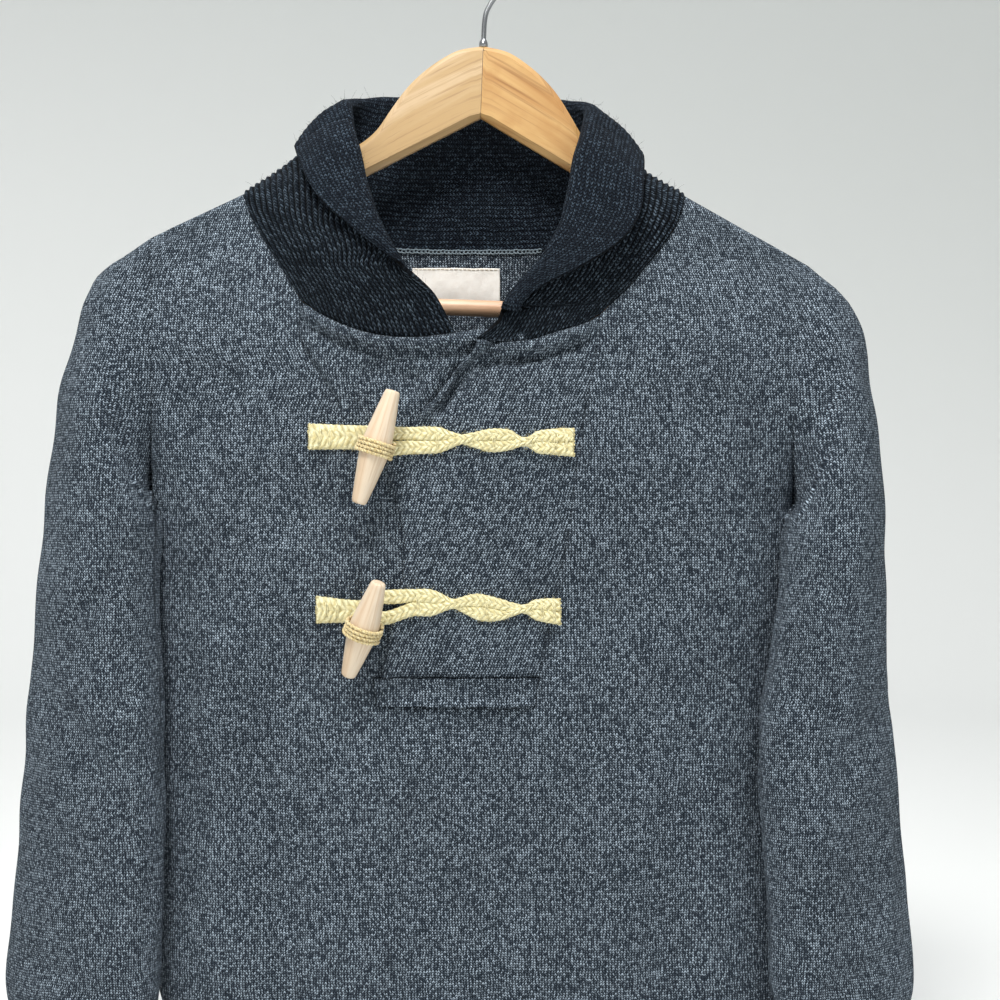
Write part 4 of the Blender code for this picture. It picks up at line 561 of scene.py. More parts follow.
# ---- the body's form ------------------------------------------------------------------------------
@dataclass(frozen=True)
class BodyForm:
    """The outer surface of the body, as the solids have it, with finer folds laid over it."""

    centre_x: float = -0.0115
    power: float = 2.6
    bottom: float = -0.8117
    underarm_z: float = -0.4165
    corner_z: float = -0.2894
    window_bottom: float = -0.5765
    placket_foot: float = -0.5557
    tip_reach: Pair = (-0.2445, 0.2503)
    shoulder_start: Pair = (0.1553, 0.1066)
    shoulder_slope: float = 0.5184
    shoulder_radius: float = 0.0115
    shoulder_fall: float = 0.05
    armhole_depth: Pair = (0.031, 0.027)
    armhole_power: float = 0.75
    armhole_blend: float = 0.45
    crown_power: float = 2.4
    edge_fade: float = 0.2
    fall_power: float = 1.2
    neck_height: float = 0.095
    wood_top: float = 0.0862
    roll: float = math.radians(2.1)
    wall: float = 0.0024
    seam_gap: float = 0.0001

    def askew(self, along: float, down: float) -> Pair:
        """A point of the hanger as it hangs.

        Args:
            along: along the hanger from its middle.
            down: down from the top of its wood.

        Returns:
            x and z.
        """
        z = -self.wood_top - down
        cos, sin = math.cos(self.roll), math.sin(self.roll)
        return along * cos + z * sin, -along * sin + z * cos

    def rolled(self, x: Array, y: Array | float, z: Array) -> Array:
        """Points turned about the hook's seat, as the whole hanger is."""
        cos, sin = math.cos(self.roll), math.sin(self.roll)
        return stack(x * cos + z * sin, y, -x * sin + z * cos)

    def shoulder_z(self, x: Array) -> Array:
        """Height of the shoulder line at x, carried on over the neck."""
        lines = []
        for side in (-1, 1):
            reach, down = self.shoulder_start
            near = self.askew(side * reach, down)
            far = self.askew(side * (reach + 0.1), down + self.shoulder_slope * 0.1)
            lines.append(near[1] + (x - near[0]) / (far[0] - near[0]) * (far[1] - near[1]))
        return np.where(x < self.centre_x, lines[0], lines[1])

    def tip(self, side: int) -> Pair:
        """x and z of the shoulder tip on one side (-1 or 1)."""
        reach = self.tip_reach[0 if side < 0 else 1]
        down = self.shoulder_start[1] + self.shoulder_slope * (abs(reach) - self.shoulder_start[0])
        return self.askew(reach, down)

    def leaning(self, level: Array, x: Array) -> Array:
        """Height of a level row at x."""
        return level - row_at(LEAN, level)[..., 0] * (x - self.centre_x)

    def underarm(self, side: int) -> Pair:
        """x and z where the armhole meets the side seam."""
        x = float(row_at(TORSO, self.underarm_z)[0 if side < 0 else 1])
        return x, float(self.leaning(self.underarm_z, x))

    def armhole_share(self, side: int, z: Array) -> Array:
        """How far up its armhole a height lies: 0 at the underarm and below, 1 at the tip."""
        bottom, top = self.underarm(side)[1], self.tip(side)[1]
        return np.clip((z - bottom) / (top - bottom), 0.0, 1.0)

    def side_x(self, side: int, z: Array) -> Array:
        """x of the side seam, or of the armhole above it."""
        share = self.armhole_share(side, z)
        column = 0 if side < 0 else 1
        inset = row_at(ARMHOLE_INSET, share)[..., column]
        above = mix(self.underarm(side)[0], self.tip(side)[0], share) - side * inset
        return np.where(share <= 0, row_at(TORSO, z)[..., column], above)

    def edge_x(self, x: Array, z: Array) -> Array:
        """x of the edge on the side where x lies."""
        return np.where(x < self.centre_x, self.side_x(-1, z), self.side_x(1, z))

    def relief(self, facing: Facing, x: Array, z: Array) -> Array:
        """How far folds and creases raise (or sink) the cloth."""
        front = facing is Facing.FRONT
        first, second = (11, 13) if front else (12, 14)
        total = 0.0002 * waver(x, z, first, 0.016) + 0.0006 * waver(x, z, second, 0.06)
        for centre_x, centre_z, half_width, half_length, turn, depth in FRONT_FOLDS if front else BACK_FOLDS:
            cos, sin = math.cos(math.radians(turn)), math.sin(math.radians(turn))
            across = (x - centre_x) * cos + (z - centre_z) * sin
            along = (z - centre_z) * cos - (x - centre_x) * sin
            total = total + depth * np.exp(-((across / half_width) ** 2) - (along / half_length) ** 2)
        for crease in FRONT_CREASES if front else BACK_CREASES:
            total = total + crease_relief(crease, x, z)
        return total

    def depth(self, facing: Facing, x: Array, z: Array) -> Array:
        """How far the outer surface stands out from the plane of the seams."""
        front = facing is Facing.FRONT
        across = np.minimum(np.abs(x - self.centre_x) / np.abs(self.edge_x(x, z) - self.centre_x), 1.0)
        middle = row_at(TORSO, z)[..., 2 if front else 3]
        share = np.where(x < self.centre_x, self.armhole_share(-1, z), self.armhole_share(1, z))
        squared = (1 - across**self.power) ** (1 / self.power)
        profile = mix(1 - across**self.crown_power, squared, 1 - smooth(share / self.armhole_blend))
        bulge = np.sin(math.pi * share).clip(0.0) ** self.armhole_power
        armhole = self.armhole_depth[0 if front else 1] * bulge
        depth = mix(armhole, middle, profile)
        depth = depth + self.relief(facing, x, z) * smooth((1 - across) / self.edge_fade)
        below = np.maximum(self.shoulder_z(x) - z, 0.0)
        over = 1 - np.minimum(below, self.shoulder_radius) / self.shoulder_radius
        rounding = self.shoulder_radius * np.sqrt(1 - over**2)
        swing = 1 - np.exp(-((below / self.shoulder_fall) ** self.fall_power))
        return np.where(depth > rounding, rounding + (depth - rounding) * swing, np.minimum(depth, rounding))

    def point(self, facing: Facing, turn: Array, z: Array) -> Array:
        """Points of the outer surface; `turn` goes from -90 degrees at the left edge to 90 at the right."""
        edge = np.where(turn < 0, self.side_x(-1, z), self.side_x(1, z))
        x = self.centre_x + np.abs(edge - self.centre_x) * np.sin(turn)
        sign = -1 if facing is Facing.FRONT else 1
        return stack(x, sign * np.maximum(self.depth(facing, x, z), self.seam_gap / 2), z)

    def turn(self, x: Array, z: Array) -> Array:
        """The turn at which point() has that x."""
        reach = np.abs(self.edge_x(x, z) - self.centre_x)
        return np.arcsin(np.clip((x - self.centre_x) / reach, -1.0, 1.0))

    def normal(self, facing: Facing, turn: Array, z: Array) -> Array:
        """Unit normals of the outer surface, facing out."""
        step, rise = 0.01, 0.0006
        low, high = np.maximum(turn - step, -math.pi / 2), np.minimum(turn + step, math.pi / 2)
        x = self.point(facing, turn, z)[..., 0]
        top = np.minimum(z + rise, np.maximum(self.shoulder_z(x), z))
        across = self.point(facing, high, z) - self.point(facing, low, z)
        along = self.point(facing, turn, top) - self.point(facing, turn, top - 2 * rise)
        normal = unit(np.cross(across, along))
        return normal if facing is Facing.FRONT else -normal

    def lifted(self, x: Array, z: Array, lift: Array | float) -> Array:
        """Points that stand `lift` off the front's surface at x and z."""
        turn = self.turn(x, z)
        out = self.normal(Facing.FRONT, turn, z)
        return self.point(Facing.FRONT, turn, z) + out * np.asarray(lift)[..., None]


def crease_relief(crease: tuple[float, ...], x: Array, z: Array) -> Array:
    """The relief of one crease.

    Args:
        crease: x and z of one end, x and z of the other, half width, depth.
        x: x of the points.
        z: z of the points.

    Returns:
        How far the crease raises each point.
    """
    x1, z1, x2, z2, half, depth = crease
    length = math.hypot(x2 - x1, z2 - z1)
    ux, uz = (x2 - x1) / length, (z2 - z1) / length
    along = ((x - x1) * ux + (z - z1) * uz) / length
    bow = 0.12 * length * np.sin(math.pi * np.clip(along, 0, 1))
    across = (x - x1) * -uz + (z - z1) * ux - bow * 0.3
    fade = smooth((along + 0.15) / 0.3) * smooth((1.15 - along) / 0.3)
    return depth * bump(across, half) * fade


BODY = BodyForm()


def fine_rows(step: float) -> tuple[Array, Array]:
    """Rows of a body panel, from the hem up.

    Args:
        step: their usual distance.

    Returns:
        The level of each row, and its share of the way from the neck's corners up (-1 below them).
    """
    marks = (BODY.bottom, BODY.window_bottom, BODY.placket_foot, BODY.underarm_z, BODY.corner_z)
    levels: list[float] = []
    for a, b in zip(marks, marks[1:]):
        count = max(round((b - a) / step), 4)
        levels += list(np.linspace(a, b, count, endpoint=False))
    rise = round(BODY.neck_height / step)
    shares = np.linspace(0, 1, rise + 1)
    shares = shares + 0.1 * np.sin(math.pi * shares) * shares
    return np.array(levels + [BODY.corner_z] * (rise + 1)), np.array([-1.0] * len(levels) + list(shares))


def panel_grid(
    facing: Facing, lines: tuple[Array, Array], counts: tuple[int, int, int],
    levels: Array, ups: Array,
) -> tuple[Array, Array]:  # fmt: skip
    """Outer and inner points of a panel in three zones: left of one line, between two, and right of them.

    Args:
        facing: which panel.
        lines: x of the two inner lines in each row.
        counts: columns of each zone.
        levels: level of each row.
        ups: share of the way up above the corners, or -1.

    Returns:
        Two grids of points.
    """
    top = BODY.shoulder_z if facing is Facing.FRONT else back_top

    def height(x: Array) -> Array:
        """Height of each row at x."""
        flat = BODY.leaning(levels, x)
        return np.where(ups < 0, flat, mix(flat, top(x), np.maximum(ups, 0)))

    edges = []
    for side in (-1, 1):
        flat = BODY.leaning(levels, BODY.underarm(side)[0])
        above = mix(flat, BODY.tip(side)[1], np.maximum(ups, 0))
        edges.append(BODY.side_x(side, np.where(ups < 0, flat, above)))
    marks = [edges[0], lines[0], lines[1], edges[1]]
    turns, heights = [], []
    for zone, count in enumerate(counts):
        a, b = marks[zone], marks[zone + 1]
        za, zb = height(a), height(b)
        ta, tb = BODY.turn(a, za), BODY.turn(b, zb)
        for k in range(count + (zone == 2)):
            turns.append(mix(ta, tb, k / count))
            heights.append(mix(za, zb, k / count))
    turn, z = np.stack(turns, 1), np.stack(heights, 1)
    for _ in range(3):
        x = BODY.point(facing, turn, z)[..., 0]
        flat = BODY.leaning(levels[:, None], x)
        z = np.where(ups[:, None] < 0, flat, mix(flat, top(x), np.maximum(ups, 0)[:, None]))
    outer = BODY.point(facing, turn, z)
    inner = outer - BODY.normal(facing, turn, z) * BODY.wall
    if facing is Facing.FRONT:
        inner[..., 1] = np.minimum(inner[..., 1], -BODY.seam_gap / 2)
    else:
        inner[..., 1] = np.maximum(inner[..., 1], BODY.seam_gap / 2)
    return outer, inner


def back_top(x: Array) -> Array:
    """Height of the back panel's upper edge: shoulder, neck, shoulder."""
    inside = (x > BACK_NECK[0][0]) & (x < BACK_NECK[-1][0])
    return np.where(inside, row_at(BACK_NECK, x)[..., 0], BODY.shoulder_z(x))


def level_places(grid: Array) -> Array:
    """Cloth places of a grid that hangs level: run across each row from its middle, and height."""
    run = run_lengths(grid, 1)
    middle = grid.shape[1] // 2
    centre = grid[:, middle : middle + 1, 0]
    return stack(run - run[:, middle : middle + 1] + centre, grid[..., 2])


# ---- body pieces ----------------------------------------------------------------------------------
@dataclass
class BodyPieces:
    """Front panel, back panel, both sleeves, hem and cuffs."""

    knit: Material
    rib: Material
    step: float = 0.0042
    front_counts: tuple[int, int, int] = (40, 40, 40)
    back_counts: tuple[int, int, int] = (16, 78, 18)
    sleeve_step: float = 0.006
    cuff_length: float = 0.056
    cuff_shrink: float = 0.94
    hem_end: float = -0.877
    hem_ribs: int = 104
    cuff_ribs: int = 26
    rib_height: float = 0.0016
    rib_fineness: int = 8
    rib_place: float = 0.0048
    band_wall: float = 0.003
    band_gap: float = 0.0003
    cuff_draw: float = 0.01
    rib_power: float = 0.8
    band_drift: float = 0.0003
    clearance: float = 0.0008
    sleeve_ripple: float = 0.0008
    levels: Array = field(init=False)
    ups: Array = field(init=False)
    front: tuple[Array, Array] = field(init=False)
    back: tuple[Array, Array] = field(init=False)

    def __post_init__(self) -> None:
        """Works out both panels' grids, which every other cloth piece starts from."""
        self.levels, self.ups = fine_rows(self.step)
        below = self.ups < 0
        lines = []
        for column in (0, 1):
            guess = row_at(WINDOW_EDGE, self.levels)[..., column]
            window = row_at(WINDOW_EDGE, BODY.leaning(self.levels, guess))[..., column]
            neck = row_at(NECK_EDGE, np.maximum(self.ups, 0))[..., column]
            lines.append(np.where(below, window, neck))
        self.front = panel_grid(Facing.FRONT, (lines[0], lines[1]), self.front_counts, self.levels, self.ups)
        flat = np.ones_like(self.levels)
        ends = (flat * BACK_NECK[0][0], flat * BACK_NECK[-1][0])
        self.back = panel_grid(Facing.BACK, ends, self.back_counts, self.levels, self.ups)

    @property
    def foot(self) -> int:
        """Row where the placket's window starts."""
        return int(np.argmin(np.abs(self.levels - BODY.window_bottom)))

    @property
    def corner(self) -> int:
        """Row of the neck's corners."""
        return int(np.argmax(self.ups >= 0))

    def make_front(self) -> None:
        """Makes the front panel, with the placket's window left out."""
        outer, inner = self.front
        first, last = self.front_counts[0], self.front_counts[0] + self.front_counts[1]
        r, c = np.meshgrid(np.arange(outer.shape[0] - 1), np.arange(outer.shape[1] - 1), indexing="ij")
        present = ~((r >= self.foot) & (c >= first) & (c < last))
        maker = MeshMaker()
        add_shell(maker, outer, inner, level_places(outer), present=present)
        piece = maker.make("front_panel_knit", [self.knit])
        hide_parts("front_panel")

    def make_back(self) -> None:
        """Makes the back panel."""
        outer, inner = self.back
        maker = MeshMaker()
        add_shell(maker, outer, inner, level_places(outer))
        piece = maker.make("back_panel_knit", [self.knit])
        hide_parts("back_panel")

    def armhole(self, side: Side) -> Array:
        """The armhole's points from the shoulder tip down the front, round the underarm and up the back."""
        column = 0 if side is Side.LEFT else -1
        bottom = int(np.argmin(np.abs(self.levels - BODY.underarm_z)))
        forward, rearward = self.front[0][bottom:, column], self.back[0][bottom:, column]
        tip, pit = (forward[-1:] + rearward[-1:]) / 2, (forward[:1] + rearward[:1]) / 2
        ring = np.concatenate([tip, forward[-2:0:-1], pit, rearward[1:-1]])
        ring[:, 0] += side.value * BODY.seam_gap
        return ring

    def sleeve_grid(self, side: Side, table: Table) -> Array:
        """Rings of a sleeve's outer surface, from the armhole down.

        Args:
            side: which sleeve.
            table: its rings.

        Returns:
            A closed grid of points.
        """
        first = self.armhole(side)
        count = len(first)
        top, bottom = first[0], first[count // 2]
        axis, reach = unit(top - bottom), float(np.linalg.norm(top - bottom)) / 2
        up = np.clip((first - (top + bottom) / 2) @ axis / reach, -1.0, 1.0)
        turns = np.where(np.arange(count) <= count // 2, np.arccos(up), 2 * math.pi - np.arccos(up))
        even = 2 * math.pi * np.arange(count) / count
        keyed = tuple((float(k), *row) for k, row in enumerate(table))
        stops = [0.0]
        for k in range(len(table) - 1):
            length = abs(table[k + 1][1] - table[k][1])
            parts = max(round(length / self.sleeve_step), 2)
            stops += list(np.linspace(k, k + 1, parts + 1)[1:])
        rings = [first]
        start = self.sleeve_ring(side, keyed, 0.0, turns, even)
        rings += [mix(first, start, share) for share in (0.25, 0.5, 0.75)]
        rings += [self.sleeve_ring(side, keyed, k, turns, even) for k in stops]
        grid = np.stack(rings)
        row = np.arange(len(grid))[:, None]
        ease = smooth(row / 8) * smooth((len(grid) - 1 - row) / 5)
        seed = 31 if side is Side.LEFT else 32
        relief = self.sleeve_ripple * waver(grid[..., 0] + grid[..., 1] * 2, grid[..., 2], seed, 0.055)
        relief = relief + self.elbow(side, grid)
        return grid + outward(grid) * (relief * ease)[..., None]

    def elbow(self, side: Side, grid: Array) -> Array:
        """Soft creases where the sleeve hangs in at the armpit and bends at the elbow."""
        x, z = grid[..., 0], grid[..., 2]
        total = np.zeros(x.shape)
        for crease in LEFT_SLEEVE_CREASES if side is Side.LEFT else RIGHT_SLEEVE_CREASES:
            total += crease_relief(crease, x, z) * smooth((0.012 - grid[..., 1]) / 0.02)
        return total

    def sleeve_ring(self, side: Side, keyed: Table, k: float, turns: Array, even: Array) -> Array:
        """One ring of a sleeve.

        Args:
            side: which sleeve.
            keyed: the sleeve's table with each row's number before it.
            k: where along the table.
            turns: the armhole points' turns round the sleeve.
            even: even turns.

        Returns:
            The ring's points.
        """
        outer_x, outer_z, inner_x, inner_z, inner_y, half = row_at(keyed, k)
        outer = np.array([outer_x, -0.01 * float(smooth(k / 3)), outer_z])
        inner = np.array([inner_x, inner_y, inner_z])
        middle, arm = (outer + inner) / 2, (outer - inner) / 2
        level = unit(np.array([-arm[1], arm[0], 0.0])) * -side.value
        across = unit(mix(np.array([0.0, -1.0, 0.0]), level, float(smooth(k / 8))))
        angle = mix(turns, even, float(smooth(k / 6)))[:, None]
        ring = middle + arm * np.cos(angle) + across * half * np.sin(angle)
        return self.clear_of_body(side, ring)

    def clear_of_body(self, side: Side, ring: Array) -> Array:
        """A ring's points moved out from the body's middle until they clear the body."""
        x, y, z = ring[:, 0], ring[:, 1], ring[:, 2]
        row = row_at(TORSO, z)
        reach = np.abs(row[:, 0 if side is Side.LEFT else 1] - BODY.centre_x) + self.clearance
        depth = np.where(y < 0, row[:, 2], row[:, 3]) + self.clearance
        fill = (np.abs(x - BODY.centre_x) / reach) ** BODY.power + (np.abs(y) / depth) ** BODY.power
        low = (BODY.armhole_share(side.value, z) <= 0) & (fill < 1)
        scale = np.where(low, np.maximum(fill, 1e-6) ** (-1 / BODY.power), 1.0)
        return stack(BODY.centre_x + (x - BODY.centre_x) * scale, y * scale, z)

    def sleeve_places(self, side: Side, grid: Array) -> Array:
        """Cloth places of a sleeve: its height, and the level way round from the top of its front."""
        ring = np.concatenate([grid, grid[:, :1]], axis=1)
        half, column = grid.shape[1] // 2, np.arange(ring.shape[1])[None, :]
        depth = np.where(column <= half, -ring[..., 1], ring[..., 1])
        front, back = depth[:, : half + 1].argmax(axis=1), half + depth[:, half:].argmax(axis=1)
        outside = (column < front[:, None]) | (column > back[:, None])
        far = side.value * np.where(outside, 1.0, -1.0)
        deep = [depth[:, : half + 1].max(axis=1)[:, None], depth[:, half:].max(axis=1)[:, None]]
        fore, aft = (ring[..., 0] + far * (most - depth) for most in deep)
        across = np.where(column <= half, fore, 2 * fore[:, half].mean() - aft)
        return stack(across, ring[..., 2])

    def make_sleeve(self, side: Side, table: Table) -> Array:
        """Makes one sleeve and returns its last ring."""
        name = side.name.lower()
        grid = self.sleeve_grid(side, table)
        inner = grid - outward(grid) * BODY.wall
        inner[0, :, 0] = grid[0, :, 0]
        maker = MeshMaker()
        add_shell(maker, grid, inner, self.sleeve_places(side, grid), closed=True)
        piece = maker.make(f"sleeve_{name}_knit", [self.knit])
        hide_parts(f"sleeve_{name}")
        return grid[-1]

    def add_band(self, maker: MeshMaker, rings: Array, ribs: int) -> None:
        """Adds a ribbed tube through closed rings.

        Args:
            maker: what gathers the piece.
            rings: rows of ring points.
            ribs: how many ribs go round.
        """
        columns = ribs * self.rib_fineness
        rows = []
        for ring in rings:
            loop = np.concatenate([ring, ring[:1]])
            run = run_lengths(loop[None], 1)[0]
            at = np.linspace(0, run[-1], columns, endpoint=False)
            rows.append(np.stack([np.interp(at, run, loop[:, k]) for k in range(3)], axis=1))
        grid = np.stack(rows)
        normals = outward(grid)
        phase = np.arange(columns) / self.rib_fineness
        ridge = (0.5 - 0.5 * np.cos(2 * math.pi * phase)) ** self.rib_power
        drift = self.band_drift * waver(np.arange(columns)[None, :] * 0.01, grid[..., 2], 51, 0.05)
        outer = grid + normals * ((ridge - 0.5) * self.rib_height + drift)[..., None]
        inner = grid - normals * self.band_wall
        run = run_lengths(grid, 0).mean(axis=1)
        across = (np.arange(columns + 1) / self.rib_fineness)[None, :] * self.rib_place
        places = stack(across, -run[:, None])
        add_shell(maker, outer, inner, places, closed=True)

    def make_cuff(self, side: Side, ring: Array) -> None:
        """Makes a cuff under a sleeve's last ring."""
        name = side.name.lower()
        middle = ring.mean(axis=0)
        rings = []
        for share in np.linspace(0, 1, 14):
            size = float(mix(1.0, self.cuff_shrink, share)) - self.cuff_draw * math.sin(math.pi * share)
            drop = np.array([0.0, 0.0, self.band_gap + self.cuff_length * share])
            rings.append(middle + (ring - middle) * size - drop)
        maker = MeshMaker()
        self.add_band(maker, np.stack(rings), self.cuff_ribs)
        piece = maker.make(f"cuff_{name}_rib", [self.rib])
        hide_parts(f"cuff_{name}")

    def make_hem(self) -> None:
        """Makes the hem band under the panels' lowest rows."""
        top = np.concatenate([self.front[0][0], self.back[0][0][-2:0:-1]])
        there = row_at(TORSO, BODY.bottom)
        rings = []
        for z in np.linspace(BODY.bottom - self.band_gap, self.hem_end, 16):
            here = row_at(TORSO, z)
            wide, deep = (here[1] - here[0]) / (there[1] - there[0]), here[2] / there[2]
            x = BODY.centre_x + (top[:, 0] - BODY.centre_x) * wide
            rings.append(stack(x, top[:, 1] * deep, z))
        maker = MeshMaker()
        self.add_band(maker, np.stack(rings), self.hem_ribs)
        piece = maker.make("hem_band_rib", [self.rib])
        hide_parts("hem_front", "hem_back")

    def build(self) -> None:
        """Makes every piece of the body."""
        self.make_front()
        self.make_back()
        self.make_hem()
        for side, table in ((Side.LEFT, LEFT_SLEEVE), (Side.RIGHT, RIGHT_SLEEVE)):
            self.make_cuff(side, self.make_sleeve(side, table))


# ---- collar ---------------------------------------------------------------------------------------
@dataclass
class Collar:
    """The shawl collar: one strip of lengthwise ribs, ribbed outside and plain inside."""

    body: BodyPieces
    rib: Material
    purl: Material
    ribs: int = 32
    fineness: int = 6
    step: float = 0.0034
    wall: float = 0.003
    ridge: float = 0.0017
    ridge_share: float = 0.34
    course: float = 0.0034
    rib_place: float = 0.004
    softness: float = 0.0007
    end_pull: float = 0.016
    fibres: int = 2600
    fibre_reach: Pair = (0.001, 0.0036)
    fibre_spread: float = 0.55
    fibre_radii: Pair = (0.00009, 0.00005)

    def neck_line(self, pair: int) -> tuple[Array, int, int]:
        """The panels' neck edge from the left corner over the back to the right corner.

        Args:
            pair: 0 for the outer surface, 1 for the inner one.

        Returns:
            The points, and the indices of both shoulders.
        """
        front, back = self.body.front[pair], self.body.back[pair]
        left, right = self.body.front_counts[0], self.body.front_counts[0] + self.body.front_counts[1]
        first, last = self.body.back_counts[0], self.body.back_counts[0] + self.body.back_counts[1]
        corner = self.body.corner
        rise, fall = front[corner:-1, left], front[-2 : corner - 1 : -1, right]
        shoulders = [(front[-1, a] + back[-1, b]) / 2 for a, b in ((left, first), (right, last))]
        behind = back[-1, first + 1 : last]
        line = np.concatenate([rise, shoulders[0][None], behind, shoulders[1][None], fall])
        return line, len(rise), len(line) - 1 - len(fall)

    def seam(self) -> tuple[Array, Array, Array]:
        """Stations along the neck edge, with the strip's first outer and inner points at each."""
        outer, a, b = self.neck_line(0)
        inner = self.neck_line(1)[0]
        edge = np.diff(outer, axis=0)
        thick = (outer[1:] + outer[:-1]) - (inner[1:] + inner[:-1])
        ways = unit(np.cross(unit(edge), unit(thick)))
        ways = unit(np.concatenate([ways[:1], ways[1:] + ways[:-1], ways[-1:]])) * BODY.seam_gap * 3
        run = run_lengths(outer[None], 1)[0]
        marks = [0.0, run[a], (run[a] + run[b]) / 2, run[b], run[-1]]
        keys = np.linspace(0, 4, 401)
        rows = row_at(COLLAR, keys)
        moves = [np.linalg.norm(np.diff(rows[:, k : k + 3], axis=0), axis=1) for k in (3, 6)]
        move = np.stack(moves).max(axis=0)
        base = np.diff(np.interp(keys, np.arange(5.0), marks))
        total = np.concatenate([[0.0], np.cumsum(np.maximum(move, base))])
        count = round(total[-1] / self.step)
        wanted = np.interp(np.linspace(0, total[-1], count), total, keys)
        spots = np.interp(wanted, np.arange(5.0), marks)

        def at(points: Array) -> Array:
            """Points of the neck edge at the wanted stations."""
            return np.stack([np.interp(spots, run, points[:, k]) for k in range(3)], axis=1)

        return wanted, at(outer + ways), at(inner + ways)

    def section(self, start: Array, row: Array, shares: Array) -> Array:
        """One section of the strip's plain face: stand, roll, then fall.

        Args:
            start: its point at the seam.
            row: knee, roll and free edge (x, y, z each), roll radius and puff.
            shares: shares of its width.

        Returns:
            Points at those shares.
        """
        knee, roll, edge, radius, puff = row[0:3], row[3:6], row[6:9], row[9], row[10]
        t = np.linspace(0.0, 1.0, 17)[:, None]
        stand = mix(mix(start, knee, t), mix(knee, roll, t), t)
        marks = run_lengths(stand[None], 1)[0]
        up = unit(roll - knee)
        along = float((edge - roll) @ up)
        out = (edge - roll) - up * along
        aside = float(np.linalg.norm(out))
        out = out / aside
        reach = math.hypot(along, aside - radius)
        fall = math.sqrt(max(reach**2 - radius**2, 1e-8))
        bend = math.atan2(aside - radius, along) + math.pi / 2 - math.atan2(fall, radius)
        bend = bend % (2 * math.pi)
        bend = 0.0 if bend > 1.6 * math.pi else bend
        place = shares * (marks[-1] + radius * bend + fall)
        t = np.interp(place, marks, t[:, 0])[:, None]
        on_stand = mix(mix(start, knee, t), mix(knee, roll, t), t)
        angle = np.clip((place - marks[-1]) / radius, 0, bend)[:, None]
        on_roll = roll + up * radius * np.sin(angle) + out * radius * (1 - np.cos(angle))
        rest = np.maximum(place - marks[-1] - radius * bend, 0.0)[:, None]
        direction = up * math.cos(bend) + out * math.sin(bend)
        off = out * -math.cos(bend) + up * math.sin(bend)
        part = rest / fall
        on_fall = on_roll + direction * rest + off * puff * 4 * part * (1 - part)
        return np.where((place <= marks[-1])[:, None], on_stand, on_fall)

    def grids(self) -> tuple[Array, Array, Array, Array]:
        """Ribbed face, plain face, cloth places and stations of the whole strip."""
        stations, seam_out, seam_in = self.seam()
        shares = np.linspace(0, 1, self.ribs * self.fineness + 1)
        rows = row_at(COLLAR, stations)
        plain = np.stack([self.section(s, r, shares) for s, r in zip(seam_in, rows)])
        plain = self.pull_ends(plain)
        run = run_lengths(plain, 0).mean(axis=1)
        normals = grid_normals(plain)
        width = np.linalg.norm(np.diff(plain, axis=1), axis=2).sum(axis=1)
        ridge = np.minimum(self.ridge, width / self.ribs * self.ridge_share)[:, None]
        phase = shares[None, :] * self.ribs
        crest = (0.5 - 0.5 * np.cos(2 * math.pi * phase)) ** 0.75
        loops = 0.12 * np.sin(2 * math.pi * run[:, None] / self.course + 1.7 * np.floor(phase))
        swell = self.softness * waver(phase * 0.006, run[:, None], 61, 0.045)
        soft = swell * np.sin(math.pi * shares)[None, :]
        lift = self.wall + ridge * (crest * (1 + loops)) + soft
        ribbed = plain + normals * lift[..., None]
        fade = smooth(shares * self.ribs / 1.2)[None, :, None]
        ribbed = ribbed - (ribbed[:, :1] - seam_out[:, None]) * (1 - fade)
        plain = plain + normals * (soft + 0.0002 * np.cos(2 * math.pi * phase))[..., None]
        for grid in (plain, ribbed):
            self.trim_ends(grid, seam_out)
        places = stack(phase * self.rib_place, run[:, None])
        return ribbed, plain, places, stations

    def pull_ends(self, plain: Array) -> Array:
        """Brings the strip's last centimetre down (or up) to the seams of its short ends."""
        for table, way in ((LEFT_END, 1), (RIGHT_END, -1)):
            ordered = plain if way > 0 else plain[::-1]
            end = ordered[0]
            shift = row_at(table, end[:, 0])[..., 0] - end[:, 2]
            run = run_lengths(ordered, 0)
            ordered[..., 2] += shift[None, :] * (1 - smooth(run / self.end_pull))
        return plain

    def trim_ends(self, grid: Array, seam_out: Array) -> None:
        """Sets the strip's first and last row on the seams of its short ends."""
        for end, table, way in ((0, LEFT_END, 1), (-1, RIGHT_END, -1)):
            corner = seam_out[end][0]
            line = grid[end]
            line[:, 0] = np.maximum(line[:, 0], corner) if way > 0 else np.minimum(line[:, 0], corner)
            line[:, 2] = row_at(table, line[:, 0])[..., 0]

    def build(self) -> None:
        """Makes the collar's three pieces, cut at the shoulders as the solids are."""
        ribbed, plain, places, stations = self.grids()
        a, b = int(np.argmin(np.abs(stations - 1))), int(np.argmin(np.abs(stations - 3)))
        cuts = (
            ("collar_left", 0, a, (0.13, 0.172)),
            ("collar_back", a, b, (0.13, 0.4)),
            ("collar_right", b, len(stations) - 1, (0.13, 0.18)),
        )
        for name, start, end, flat in cuts:
            maker = MeshMaker()
            part = slice(start, end + 1)
            add_shell(maker, ribbed[part], plain[part], places[part], looks=(0, 1, 0))
            piece = maker.make(f"{name}_rib", [self.rib, self.purl])
            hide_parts(name)
        self.make_fuzz(plain, ribbed)

